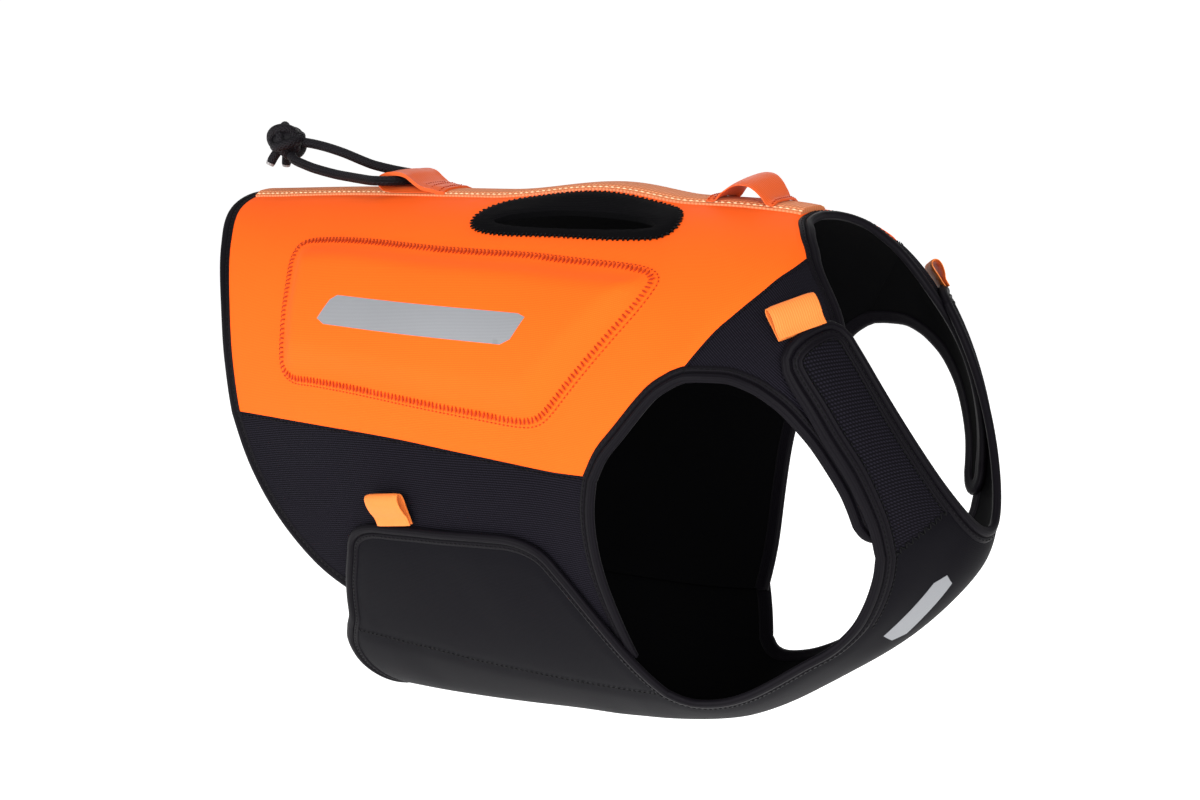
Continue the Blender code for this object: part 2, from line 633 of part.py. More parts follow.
def add_cord():
    """The pull cord, its knot and its two short ends."""
    mat = material("black cord", BLACK)
    add_curve_tube("rear_cord", CORD_ROUTE, CORD_POINTS, mat)
    mesh = bpy.data.meshes.new("cord_knot")
    bm = bmesh.new()
    bmesh.ops.create_uvsphere(bm, u_segments=16, v_segments=10, radius=KNOT / 2 * MM)
    bm.to_mesh(mesh)
    bm.free()
    mesh.shade_smooth()
    mesh.materials.append(mat)
    knot = bpy.data.objects.new("cord_knot", mesh)
    knot.location = Vector(KNOT_CENTRE) * MM
    bpy.context.collection.objects.link(knot)
    start = KNOT / 2 + SEAM_GAP
    for name, direction in TAIL_DIRECTIONS.items():
        way = np.array(direction) / np.linalg.norm(direction)
        route = [np.array(KNOT_CENTRE) + way * (start + TAIL * f) for f in (0.0, 0.5, 1.0)]
        add_curve_tube(name, route, len(route), mat)


def main():
    for obj in list(bpy.data.objects):
        bpy.data.objects.remove(obj, do_unlink=True)
    cuts = {name: run(rows) for name, rows in {
        "spine": SPINE_LINE, "back_neck": BACK_NECK, "tongue_seam": TONGUE_SEAM,
        "back_leg": BACK_LEG, "flank_seam": FLANK_SEAM, "back_hem": BACK_HEM,
        "flank_front": FLANK_FRONT, "flank_low": FLANK_LOW, "flank_hem": FLANK_HEM,
        "tongue_leg": TONGUE_LEG, "flap_top": FLAP_TOP,
        "belly_seam": BELLY_SEAM, "belly_rear": BELLY_REAR, "belly_leg": BELLY_LEG,
        "strap_seam": STRAP_SEAM}.items()}
    cuts.update({name: run(rows, TIGHT_STEP) for name, rows in {
        "tongue_neck": TONGUE_NECK, "strap_top": STRAP_TOP, "strap_neck": STRAP_NECK,
        "chest_neck": CHEST_NECK}.items()})
    cuts["tongue_tip"] = run(TONGUE_TIP, TIP_STEP)
    add_saddle(cuts)
    add_handle_trim()
    add_pads()
    add_harness(cuts)
    add_all_bindings(cuts)
    add_webbing()
    add_tabs()
    add_cord()


main()
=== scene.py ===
"""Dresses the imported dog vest: neoprene panels, edge tape, foam pads, webbing, stitches and cord.

Sizes in the tables are millimetres, and the meshes are written in metres. +X points to the dog's
head, +Y to its left and +Z up. A place on the cloth is (t, a): t counts stations from the rear hem
to the neck, and a is the angle round the body in degrees, 0 at the spine and 180 at the belly,
positive on the dog's left. Heights are over the outer face of the saddle.
"""
import math

import bpy
import numpy as np
from bpy.props import FloatProperty, FloatVectorProperty, PointerProperty
from mathutils import Matrix, Vector
from mathutils.geometry import delaunay_2d_cdt


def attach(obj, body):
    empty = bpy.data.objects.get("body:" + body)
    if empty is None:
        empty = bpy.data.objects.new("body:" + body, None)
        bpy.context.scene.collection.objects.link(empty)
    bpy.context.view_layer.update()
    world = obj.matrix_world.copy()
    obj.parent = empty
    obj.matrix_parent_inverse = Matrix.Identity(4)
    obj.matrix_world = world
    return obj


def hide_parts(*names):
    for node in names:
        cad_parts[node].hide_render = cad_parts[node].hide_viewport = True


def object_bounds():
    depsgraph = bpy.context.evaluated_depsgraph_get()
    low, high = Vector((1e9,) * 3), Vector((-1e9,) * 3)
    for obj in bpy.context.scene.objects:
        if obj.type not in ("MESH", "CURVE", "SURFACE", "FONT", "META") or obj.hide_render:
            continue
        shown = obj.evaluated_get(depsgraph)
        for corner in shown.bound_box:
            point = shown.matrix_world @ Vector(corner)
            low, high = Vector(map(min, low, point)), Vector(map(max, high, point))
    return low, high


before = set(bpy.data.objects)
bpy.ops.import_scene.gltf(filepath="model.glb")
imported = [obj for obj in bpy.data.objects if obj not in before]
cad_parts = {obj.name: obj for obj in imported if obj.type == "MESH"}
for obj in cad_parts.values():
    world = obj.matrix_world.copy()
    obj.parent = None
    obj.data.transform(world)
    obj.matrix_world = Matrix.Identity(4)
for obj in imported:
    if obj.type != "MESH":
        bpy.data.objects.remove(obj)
CAD_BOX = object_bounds()

bl_info = {
    "name": "Dog Neoprene Vest",
    "version": (1, 0, 0),
    "blender": (4, 5, 0),
    "location": "3D View > Sidebar > Vest",
    "description": "Builds the cloth, tape, webbing, stitches and cord of a dog's neoprene vest",
    "category": "Object",
}

MM = 0.001
BODY = "root"

# Pieces sewn edge to edge; the part's solids stand further apart, but no light may show through here
SEAM_GAP = 0.04

# The form and the cut, as in the part's own source
LAY_GAP = 0.8             # between pieces laid on each other
CLOTH = 2.8               # thickness of the neoprene
WEBBING_WIDTH = 25.0
WEBBING = 1.8             # thickness of the spine webbing
PAD_RAMP = 17.0           # distance from a pad's edge over which it rises
HANDLE_RISE = 5.0         # how far the handle pulls the back up
HANDLE_T = 2.93           # station of the handle's middle
HANDLE_REACH = 0.85       # stations from there to its ends
HANDLE_HALF = 7.0         # degrees from the spine that it pulls up fully
HANDLE_FADE = 10.0        # degrees over which that fades
CORD = 5.6
KNOT = 22.5               # diameter of the knot's ball
TAIL = 6.0                # how far a tail stands out of it
LEASH_TILT = 0.22         # slope across the leash loop's top

# Stations of the form: spine point, belly point, half width, fullness above the middle, forward bow
STATIONS = [
    # t_x, t_z,  b_x,  b_z, half,  egg, bow
    (-206, -8, -116, -291, 77, 0.15, 0),
    (-120, -2, -47, -287, 91, 0.20, 0),
    (-31, 2, 23, -280, 98, 0.22, 0),
    (54, 6, 98, -270, 101, 0.20, 0),
    (114, 7, 153, -254, 107, 0.10, 1),
    (147, 7, 196, -226, 103, 0.12, 1),
    (166, 6, 231, -198, 90, 0.22, 2),
    (177, 4, 259, -165, 74, 0.32, 6),
    (184, 2, 267, -141, 44, 0.36, 8),
]

# Cut edges of the saddle, in (t, a)
SPINE_LINE = [(0.04, 0), (6.20, 0)]
BACK_NECK = [(6.20, 0), (6.38, 10), (6.90, 18), (7.34, 28), (7.46, 34)]
TONGUE_SEAM = [(7.46, 34), (7.08, 38), (6.64, 41.5), (6.12, 46.5), (5.62, 51.5), (5.22, 55.8),
               (4.74, 63.4)]
BACK_LEG = [(4.74, 63.4), (4.50, 64.2), (4.18, 67.2), (3.78, 75.5), (3.58, 80), (3.42, 85.5)]
FLANK_SEAM = [(3.42, 85.5), (3.06, 84.8), (2.44, 82.5), (1.82, 80.5), (1.10, 79.5), (0.21, 79)]
BACK_HEM = [(0.21, 79), (0.24, 67), (0.24, 52), (0.15, 34), (0.05, 18), (0.04, 0)]
FLANK_FRONT = [(3.42, 85.5), (3.33, 92), (3.27, 99), (3.23, 108), (3.21, 120), (3.18, 131)]
FLANK_LOW = [(3.18, 131), (2.40, 129.5), (1.70, 127.5), (1.10, 124)]
FLANK_HEM = [(1.10, 124), (0.79, 118), (0.56, 112), (0.36, 102), (0.25, 91), (0.21, 79)]
TONGUE_LEG = [(4.74, 63.4), (5.04, 64), (5.56, 66), (5.96, 69.8), (6.20, 73.6), (6.42, 79),
              (6.56, 85), (6.66, 92), (6.70, 100), (6.70, 108), (6.66, 114), (6.61, 119)]
TONGUE_TIP = [(6.61, 119), (6.62, 122), (6.68, 123.8), (6.75, 122.2), (6.79, 119)]
TONGUE_NECK = [(7.46, 34), (7.58, 42), (7.68, 51), (7.70, 60), (7.58, 69), (7.38, 79), (7.21, 89),
               (7.08, 99), (6.97, 108), (6.88, 114), (6.79, 119)]

# Cut edges of the harness that closes round it: flap, belly, chest and strap
FLAP_TOP = [(0.57, 133.5), (0.69, 129), (0.80, 123), (0.93, 116.5), (1.08, 110), (1.18, 105.6),
            (1.34, 103.4), (1.60, 103), (2.00, 102.6), (2.40, 102.2), (2.62, 102.4), (2.78, 104.4),
            (2.87, 108.4), (2.96, 113.6), (3.08, 122), (3.18, 131), (3.25, 138), (3.32, 145.5)]
BELLY_SEAM = [(3.32, 145.5), (2.84, 143.5), (2.34, 141), (1.80, 138.5), (1.34, 136), (0.57, 133.5)]
BELLY_REAR = [(0.57, 133.5), (0.43, 140), (0.34, 150), (0.34, 160), (0.38, 170), (0.40, 180)]
BELLY_LEG = [(3.32, 145.5), (3.44, 150.4), (3.62, 153.8), (3.90, 155.2), (4.20, 155.2), (4.64, 154.6),
             (5.00, 154.4), (5.36, 154.4), (5.76, 151), (6.10, 145.4), (6.40, 138.4), (6.60, 132)]
STRAP_SEAM = [(6.60, 132), (7.10, 133), (7.68, 136)]
STRAP_TOP = [(6.60, 132), (6.78, 120), (6.88, 105), (6.86, 92), (6.83, 83), (6.76, 75),
             (6.74, 70.6), (6.84, 68.2), (7.10, 66.4), (7.38, 66), (7.54, 67), (7.62, 70)]
STRAP_NECK = [(7.62, 70), (7.66, 80), (7.67, 95), (7.67, 110), (7.67, 124), (7.68, 136)]
CHEST_NECK = [(7.68, 136), (7.69, 147), (7.70, 158), (7.71, 169), (7.72, 180)]

# Closed outlines on the back
PAD = [(0.86, 38), (0.92, 32.6), (1.12, 31), (1.52, 31), (1.96, 32.2), (2.36, 33), (2.76, 33.6),
       (3.20, 34.8), (3.66, 35.6), (3.90, 36.4), (4.05, 38), (4.11, 41), (3.98, 48), (3.70, 57),
       (3.36, 67), (3.15, 73), (3.02, 75.2), (2.84, 75.6), (2.48, 74.4), (1.64, 71.6), (1.18, 70.6),
       (0.93, 70.2), (0.83, 67), (0.85, 58), (0.87, 47)]
TRIM_OUTER = [(2.19, 20), (2.22, 14), (2.32, 9.6), (2.52, 8.2), (2.92, 7.8), (3.32, 8), (3.62, 9),
              (3.82, 12.4), (3.94, 18), (3.94, 22.6), (3.80, 25.8), (3.42, 27.2), (2.90, 27),
              (2.46, 26.8), (2.26, 24.8)]
HANDLE_HOLE = [(2.36, 21.5), (2.48, 18), (2.74, 16), (3.10, 16), (3.44, 17), (3.65, 19),
               (3.74, 21.4), (3.58, 23.2), (3.36, 24), (3.00, 24.4), (2.66, 24.2), (2.46, 23.4)]

# Spine webbing: its ends in (t, a), and where stitches and selvedges press its face down, as depth,
# distance from its middle where that starts, and the reach over which it grows
SPINE_TAPE = [(0.07, 0), (6.14, 0)]
SPINE_TAPE_PRESSED = [(1.1, 7.5, 4.0), (0.5, 11.4, 1.1)]
SPINE_TAPE_SUNK = 0.25    # how far its under side lies in the back

# Tapes draw in towards their selvedges by this share of their thickness, steeply at the very edge
SELVEDGE_SHARE = 0.36
SELVEDGE_POWER = 8

# Loops of webbing on the spine: distance along it and height over the webbing, of the tape's middle
LOOP_TAPE = 1.3           # thickness of their tape
LOOP_FREE = 4.0           # height from which a loop no longer follows the pressed webbing
LOOP_FREE_FADE = 3.0      # height under that over which it lets go
LEASH_LOOP = [(113.5, 1.1), (118.5, 1.4), (123.5, 5.4), (128.5, 9.2), (133.5, 10.8), (138.5, 10.2),
              (142.5, 7.6), (146.0, 3.8), (148.8, 1.5), (152.5, 1.1)]
REAR_LOOP_SEWN = [(-56.5, 0.7), (-60.5, 0.9), (-65.0, 1.9), (-70.0, 2.3), (-74.5, 3.3), (-78.5, 5.8),
                  (-82.5, 8.6), (-88.0, 9.9), (-95.0, 9.6), (-100.6, 7.9), (-103.2, 4.9), (-101.6, 2.3),
                  (-96.0, 1.0), (-84.0, 0.8), (-72.0, 0.8), (-64.0, 0.8)]

# Pull tabs: place of the root's middle, turn towards the head in degrees, and share of the fold's
# length that the tab shows
TABS = {
    # name: t, a, turn, share shown
    "shoulder_tab": (6.98, 60.8, -12.0, 0.80),
    "flap_tab": (1.64, 98.3, 0.0, 0.93),
}
TAB_TAPE = 1.3            # thickness of the tabs' webbing

# Cord through the rear loop, from the knot to the loop and back
CORD_ROUTE = [(-175.8, -6.2, 16.2), (-171.5, -8.0, 14.0), (-164, -9.2, 12.2), (-154, -10.0, 10.1),
              (-138, -11.0, 7.9), (-124, -12.6, 7.0), (-112, -16.0, 6.8), (-104, -18.4, 6.8),
              (-97.5, -18.6, 7.0), (-91.5, -14.8, 7.0), (-89.0, -7.0, 7.0), (-89.0, 7.0, 7.0),
              (-91.5, 14.8, 7.0), (-97.5, 18.6, 7.4), (-105, 17.6, 8.0), (-115, 14.2, 9.6),
              (-125.5, 10.0, 12.0), (-132, 6.6, 14.6), (-143, 4.2, 18.4), (-155, 3.2, 21.2),
              (-165, 2.6, 22.8), (-172.1, 1.2, 23.7)]

# Knot: wraps of cord that turn, climb and fall round a core, and so cross each other
KNOT_CENTRE = (-183.5, -1.0, 24.3)
KNOT_TURNS = 3
KNOT_WAVES = 4            # times that the wraps climb in all those turns
KNOT_PHASE = 0.9          # of the climb where the wraps start, in radians
KNOT_CLIMB = 50.0         # degrees over and under the middle that they reach
KNOT_REACH = 8.5          # distance of the wraps from the centre
KNOT_WEAVE = 1.2          # how far that distance changes where wraps cross
KNOT_STRAND = 2.9         # radius of the wrapped cord
KNOT_LEAN = -32.0         # degrees that the whole knot leans about the next axis
KNOT_LEAN_AXIS = (0.68, -0.73, 0.0)
KNOT_CORE = (8.6, 8.6, 9.4)    # radii of the core

# Cut ends of the cord past the knot
TAILS = {
    # name: direction, how far its end bends over
    "cord_tail_right": ((-0.62, -0.30, -0.72), (1.02, 0.0, -1.87)),
    "cord_tail_left": ((-0.45, 0.40, -0.80), (1.02, -1.25, -1.87)),
}
TAIL_ROOT = 4.0           # how deep in the knot a tail starts
TAIL_LENGTH = TAIL + 4.2
TAIL_SEALED = TAIL + 3.1  # distance from its start at which it is melted
TAIL_SHAPE = [1.0] * 7 + [0.98, 0.84]    # of the cord's radius, from its start to its end

# Creases of the worn cloth: two ends in (t, a), half width and height; a negative height is a trough
CREASES = [
    # t0,   a0,   t1,   a1, half width, height
    (0.35, -18, 1.00, -25, 17, -0.7),
    (3.95, -26, 4.70, -52, 14, -0.9),
    (4.40, -14, 5.60, -34, 16, 0.6),
    (0.60, -88, 1.70, -95, 18, -0.9),
    (2.10, -92, 3.05, -88, 13, 0.7),
    (3.40, -76, 4.20, -58, 15, -0.7),
    (5.30, -63, 6.30, -50, 10, -0.6),
    (0.95, -126, 2.00, -117, 18, -0.7),
    (1.20, -150, 2.70, -158, 22, -1.1),
    (2.60, -166, 3.70, -173, 20, 0.9),
    (4.50, -169, 5.60, -160, 18, -1.0),
    (6.15, -161, 7.10, -149, 13, -0.7),
    (6.90, -100, 7.30, -122, 9, 0.5),
    (0.25, 16, 1.10, 24, 15, -0.8),
    (4.05, 24, 4.85, 50, 15, -0.8),
    (4.90, 12, 5.90, 30, 14, 0.5),
    (0.50, 86, 1.90, 94, 20, -0.8),
    (2.40, 95, 3.10, 104, 12, 0.6),
    (3.55, 72, 4.30, 56, 13, -0.6),
    (5.50, 60, 6.40, 53, 10, -0.5),
    (1.10, 121, 2.30, 127, 20, -0.8),
    (0.90, 148, 2.20, 160, 20, 0.8),
    (3.00, 165, 4.20, 172, 20, -1.0),
    (5.00, 164, 6.20, 158, 17, 0.8),
]

# Folded edge tape across its width: distance from the sewn edge, height over or under the cloth
TAPE_TOP = [(-0.9, -0.3), (-0.5, 0.0), (0.1, 0.2), (1.0, 0.26), (1.8, 0.05), (2.35, -0.55),
            (2.8, 0.25), (3.6, 0.9), (4.7, 1.0), (5.8, 0.66), (6.7, -0.1), (7.2, -1.0)]
TAPE_UNDER = [(7.1, 0.7), (6.5, 0.05), (5.4, -0.45), (4.0, -0.55), (2.4, -0.3), (0.9, -0.35),
              (-0.3, -0.3), (-0.9, 0.1)]

# Low ridge of facing inside the tape of the straps: distance from the sewn edge, height over the cloth
FACING_LAP = 14           # points of the belly's leg edge that it follows before the strap starts
FACING = [(-2.6, -0.4), (-2.5, 0.0), (-2.2, 0.18), (-1.6, 0.24), (-1.1, 0.15), (-0.7, -0.1),
          (-0.6, -0.4)]

# Section of a folded pull tab from the side: distance from its root and height
TAB_FOLD = [(-3.5, 1.0), (1.0, 1.0), (6.0, 1.15), (10.5, 1.05), (13.8, 1.3), (15.9, 2.5),
            (15.9, 4.3), (13.9, 5.6), (10.0, 5.7), (5.5, 4.7), (1.5, 3.2), (-3.5, 2.9)]

# Foam pad: a cut edge, a step up to a flat sewn margin, and a dome
PAD_SUNK = 0.3            # how far its under side lies in the back
PAD_EDGE = 0.25           # height of the cut edge
PAD_STEP = 1.6            # reach of the step
PAD_FLAT = 1.2            # height of the margin
PAD_MARGIN = 3.4          # its width
PAD_CROWN = 0.7           # how much the dome's middle still crowns
PAD_CROWN_RAMPS = 2.2     # how many ramps wide that crown grows

# Handle trim: a soft roll that falls again at the opening
TRIM_STEP = 2.4           # distance between the points of its mesh
TRIM_EDGE = 0.35          # height at its outer edge
TRIM_ROLL = 0.9           # how much higher the roll is
TRIM_RISE = 4.0           # reach of its rise
TRIM_FALL = 0.8           # share of the roll that is lost at the opening
TRIM_FALL_REACH = 3.0

# Share of a seam's dip that shows on the lining too
LINING_DIP = 0.4

# Stitches: pitch, length and width, then turn from the row and swing to each side in degrees
SPINE_STITCH = 2.5        # length; the pitch and the width are properties
LOOP_STITCH = (1.9, 1.5, 0.9)
PAD_LADDER = (2.6, 4.2, 1.15, 90.0, 6.0)
PAD_DOT = (2.6, 1.6, 0.8)
OVERLOCK = (3.0, 3.3, 1.3, 90.0, 14.0)
TAPE_STITCH = (3.0, 2.3, 0.7)
SEAM_STITCH = (3.2, 2.4, 0.7)
STRAP_ZIGZAG = (1.8, 4.2, 0.9, 90.0, 24.0)

# Rows along the spine webbing: distance from its middle, height over it, and where they end
SPINE_ROW = 11.2
SPINE_ROW_LIFT = 0.15
SPINE_ROW_ENDS = (-198.0, 167.0)

# Rows that hold the loops: distance along the spine and height over the webbing
LOOP_ROWS = [(114.6, 1.75), (117.6, 1.95), (151.4, 1.85), (-72.0, 3.2), (-66.5, 2.75), (-60.0, 1.6)]

# Other rows: distance beside the edge, positive over the piece that is sewn on there, and height
PAD_ROW_STEP = 2.7        # distance between the points of the rows round the pads
LADDER_ROW = (2.7, 0.15)
DOT_ROW = (-0.5, 0.05)
OVERLOCK_ROW = (-0.4, 0.1)
TAPE_ROW = (0.8, 0.27)
RIDGE_ROW = (-2.9, 0.1)
SEAM_ROW = (-1.6, 0.05)
BELLY_ROW = (1.5, 0.02)
ZIGZAG_ROW = (0.0, -0.35)

# Plain reflective shapes, in (t, a) on the right side
PAD_PRINT = [(1.40, -50.6), (1.46, -49.4), (2.92, -51.6), (2.98, -52.4), (2.88, -57.4), (2.80, -58.6),
             (1.36, -56.4), (1.30, -55.2)]
CHEST_PRINT = [(5.86, -160.5), (6.74, -154.5), (6.92, -157.0), (6.86, -163.5), (6.00, -170.0),
               (5.84, -167.0)]
PRINT_SUNK = 0.3          # how far their under side lies in the cloth
PRINT_RAISED = 0.13       # how far their face stands over it

# Camera of the photograph
CAMERA_PLACE = (0.640, -0.880, 0.123)
CAMERA_TURN = 34.29      # degrees from straight at the dog's right side towards its head
CAMERA_DIP = 12.13       # degrees down
CAMERA_LENS = 60.0

# Studio, in metres
FLOOR_DROP = 0.20        # from the belly down to the floor
FLOOR_REACH = 60.0       # from its middle to its edges
FLOOR_GLOW = 0.62        # light that the floor gives off, which keeps it white
SKY_GLOW = 0.42
LIGHTS_AIM = (0.03, 0.0, -0.13)
LIGHTS = [
    # name, place, size, watts
    ("key_softbox", (1.25, -1.15, 0.45), 1.3, 28.0),
    ("side_softbox", (-0.7, -1.7, 0.15), 1.3, 24.0),
    ("top_softbox", (-0.2, 0.1, 1.7), 1.6, 6.0),
    ("far_softbox", (-0.7, 1.5, 0.7), 1.2, 6.0),
]

# Noise cells in each metre of a material: fluff about 0.7 mm across, twisted thread about 1.1 mm, and
# a slow drift of the colour over about 11 cm
FLUFF = 1400.0
THREAD_TWIST = 900.0
COLOUR_DRIFT = 9.0


def linear(code):
    """Linear colour of an sRGB hex code."""
    shares = [int(code[k:k + 2], 16) / 255 for k in (1, 3, 5)]
    return tuple(c / 12.92 if c <= 0.04045 else ((c + 0.055) / 1.055) ** 2.4 for c in shares)


def spline(rows, u):
    """Catmull-Rom curve through the rows at u, which counts rows from 0 and may run just past them."""
    rows = np.asarray(rows, float)
    last = len(rows) - 1
    u = np.asarray(u, float)
    i = np.clip(np.floor(u).astype(int), 0, last - 1)
    f = (u - i)[..., None]
    p1, p2 = rows[i], rows[i + 1]
    p0 = np.where((i == 0)[..., None], 2 * p1 - p2, rows[np.maximum(i - 1, 0)])
    p3 = np.where((i == last - 1)[..., None], 2 * p2 - p1, rows[np.minimum(i + 2, last)])
    return 0.5 * (2 * p1 + (p2 - p0) * f + (2 * p0 - 5 * p1 + 4 * p2 - p3) * f ** 2
                  + (3 * p1 - p0 - 3 * p2 + p3) * f ** 3)


def smooth(x):
    """A ramp from 0 to 1 with level ends."""
    x = np.clip(x, 0, 1)
    return x * x * (3 - 2 * x)


def handle_lift(t, a):
    """How far the handle pulls the back up between its two openings."""
    along = np.clip(abs(t - HANDLE_T) / HANDLE_REACH, 0, 1)
    beside_it = 1 - smooth((abs(a) - HANDLE_HALF) / HANDLE_FADE)
    return HANDLE_RISE * np.cos(along * math.pi / 2) ** 2 * beside_it


def form(t, a):
    """Point of the smooth form at station t and signed angle a."""
    t, a = np.broadcast_arrays(np.asarray(t, float), np.asarray(a, float))
    tx, tz, bx, bz, half, egg, bow = np.moveaxis(spline(STATIONS, t), -1, 0)
    c, s = np.cos(np.radians(a)), np.sin(np.radians(a))
    x = (tx + bx) / 2 + (tx - bx) / 2 * c + bow * s * s
    y = half * s * (1 + egg * c)
    z = (tz + bz) / 2 + (tz - bz) / 2 * c + handle_lift(t, a)
    return np.stack([x, y, z], -1)


def outward(t, a):
    """Unit normal of the form, away from the wearer."""
    dt, da = 0.01, 0.5
    along = form(np.asarray(t) + dt, a) - form(np.asarray(t) - dt, a)
    around = form(t, np.asarray(a) + da) - form(t, np.asarray(a) - da)
    n = np.cross(along, around)
    return n / np.linalg.norm(n, axis=-1, keepdims=True)


def reach_along(points):
    """Distance along a path at each of its points."""
    return np.concatenate([[0], np.cumsum(np.linalg.norm(np.diff(points, axis=0), axis=1))])


ARC_PER_DEGREE = 1.75
SIDE_REACH = reach_along(form(np.arange(len(STATIONS)), 90.0))


def flat(path):
    """The places laid out roughly in millimetres."""
    t = np.interp(path[:, 0], np.arange(len(STATIONS)), SIDE_REACH)
    return np.stack([t, path[:, 1] * ARC_PER_DEGREE], -1)


def unflat(uv):
    """Back from the layout to (t, a)."""
    t = np.interp(uv[:, 0], SIDE_REACH, np.arange(len(STATIONS)))
    return np.stack([t, uv[:, 1] / ARC_PER_DEGREE], -1)


def relief(t, a):
    """Height of the creases at a place; past the belly line the angle counts on from 180."""
    t, a = np.broadcast_arrays(np.asarray(t, float), np.asarray(a, float))
    a = (a + 180) % 360 - 180
    p = flat(np.stack([t.ravel(), a.ravel()], -1))
    total = np.zeros(len(p))
    for t0, a0, t1, a1, width, height in CREASES:
        ends = flat(np.array([(t0, a0), (t1, a1)], float))
        reach = ends[1] - ends[0]
        f = np.clip((p - ends[0]) @ reach / (reach @ reach), 0, 1)
        gap = np.linalg.norm(p - ends[0] - f[:, None] * reach, axis=1)
        total += height * np.exp(-(gap / width) ** 2)
    return total.reshape(t.shape)


def cloth_point(t, a, height):
    """Point of the creased cloth at a place, at a height over the saddle's outer face."""
    lift = np.asarray(height) + relief(t, a)
    return form(t, a) + outward(t, a) * lift[..., None]


def run(rows, step):
    """Evenly spaced (t, a) places on the smooth curve through the rows."""
    u = np.linspace(0, len(rows) - 1, 40 * len(rows))
    fine = spline(rows, u)
    length = reach_along(form(fine[:, 0], fine[:, 1]))
    count = max(2, round(length[-1] / step) + 1)
    return spline(rows, np.interp(np.linspace(0, length[-1], count), length, u))


def ring(rows, step):
    """Evenly spaced places on the smooth closed curve through the rows."""
    rows = list(rows)
    wrapped = rows[-2:] + rows + rows[:3]
    u = np.linspace(2, len(rows) + 2, 40 * len(rows))
    fine = spline(wrapped, u)
    length = reach_along(form(fine[:, 0], fine[:, 1]))
    count = max(8, round(length[-1] / step))
    return spline(wrapped, np.interp(np.linspace(0, length[-1], count + 1)[:-1], length, u))


def chain(*runs):
    """One path from runs that meet end to end; each may be given in either direction."""
    path = runs[0]
    for nxt in runs[1:]:
        if np.linalg.norm(nxt[0] - path[-1]) > np.linalg.norm(nxt[-1] - path[-1]):
            nxt = nxt[::-1]
        path = np.vstack([path, nxt[1:]])
    return path


def mirrored(path):
    """The same path on the other side."""
    return np.asarray(path, float) * np.array([1.0, -1.0])


def other_side(path):
    """The same path past the belly line, its angle still counting up."""
    return np.stack([path[:, 0], 360 - path[:, 1]], -1)


def inside(loop, points):
    """Which of the layout points lie inside the closed outline."""
    x, y = loop[:, 0], loop[:, 1]
    x2, y2 = np.roll(x, -1), np.roll(y, -1)
    px, py = points[:, :1], points[:, 1:]
    crosses = (y > py) != (y2 > py)
    with np.errstate(divide="ignore", invalid="ignore"):
        at = x + (py - y) / (y2 - y) * (x2 - x)
    return np.count_nonzero(crosses & (px < at), axis=1) % 2 == 1


def edge_distances(loop, points):
    """Distance from each layout point to the closed outline."""
    ab = np.roll(loop, -1, axis=0) - loop
    rel = points[:, None] - loop[None]
    f = np.clip((rel * ab).sum(2) / np.maximum((ab * ab).sum(1), 1e-9), 0, 1)
    return np.sqrt(((rel - f[..., None] * ab) ** 2).sum(2)).min(1)


def edge_shift(path, closed):
    """Unit vectors in the cloth at right angles to the path, to the left of its direction."""
    xyz = form(path[:, 0], path[:, 1])
    if closed:
        along = np.roll(xyz, -1, axis=0) - np.roll(xyz, 1, axis=0)
    else:
        along = np.gradient(xyz, axis=0)
    side = np.cross(outward(path[:, 0], path[:, 1]), along)
    return side / np.linalg.norm(side, axis=1, keepdims=True)


def beside(path, shift):
    """The places that a small shift in the cloth, in millimetres, leads to from the path."""
    t, a = path[:, 0], path[:, 1]
    p = (form(t + 0.01, a) - form(t - 0.01, a)) / 0.02
    q = form(t, a + 0.5) - form(t, a - 0.5)
    pp, pq, qq = (p * p).sum(1), (p * q).sum(1), (q * q).sum(1)
    pm, qm = (p * shift).sum(1), (q * shift).sum(1)
    whole = pp * qq - pq * pq
    return path + np.stack([(pm * qq - qm * pq) / whole, (qm * pp - pm * pq) / whole], -1)


def spine_edge(t, y):
    """Angle at which the form is y wide of the spine at station t."""
    half, egg = np.moveaxis(spline(STATIONS, t)[..., 4:6], -1, 0)
    return np.degrees(np.arcsin(y / (half * (1 + egg))))


def station_at(x):
    """Station whose spine point is at x."""
    t = np.linspace(0, len(STATIONS) - 1, 2000)
    return np.interp(x, spline(STATIONS, t)[:, 0], t)


def reach_tables():
    """Arc length along the body and, from the spine, round it over a fine net of places."""
    t = np.linspace(-0.3, len(STATIONS) - 1, 120)
    a = np.linspace(-200, 380, 291)
    points = form(t[:, None], a[None, :])
    along = np.linalg.norm(np.diff(points, axis=0), axis=2)
    around = np.linalg.norm(np.diff(points, axis=1), axis=2)
    along = np.vstack([np.zeros((1, len(a))), np.cumsum(along, axis=0)])
    around = np.hstack([np.zeros((len(t), 1)), np.cumsum(around, axis=1)])
    around -= around[:, [np.argmin(abs(a))]]
    return t, a, along, around


REACH = reach_tables()


def cloth_uv(places):
    """Distances along the body and round it at the places, in metres, for patterns and cut sizes."""
    t, a, along, around = REACH
    i = np.clip(np.searchsorted(t, places[:, 0]) - 1, 0, len(t) - 2)
    j = np.clip(np.searchsorted(a, places[:, 1]) - 1, 0, len(a) - 2)
    f = (places[:, 0] - t[i]) / (t[i + 1] - t[i])
    g = (places[:, 1] - a[j]) / (a[j + 1] - a[j])
    both = []
    for table in (along, around):
        both.append((1 - f) * ((1 - g) * table[i, j] + g * table[i, j + 1])
                    + f * ((1 - g) * table[i + 1, j] + g * table[i + 1, j + 1]))
    return np.stack(both, -1) * MM


def sizes():
    """The sizes that the sidebar shows."""
    return bpy.context.scene.vest_sizes


def colours():
    """The colours that the sidebar shows."""
    return bpy.context.scene.vest_colours


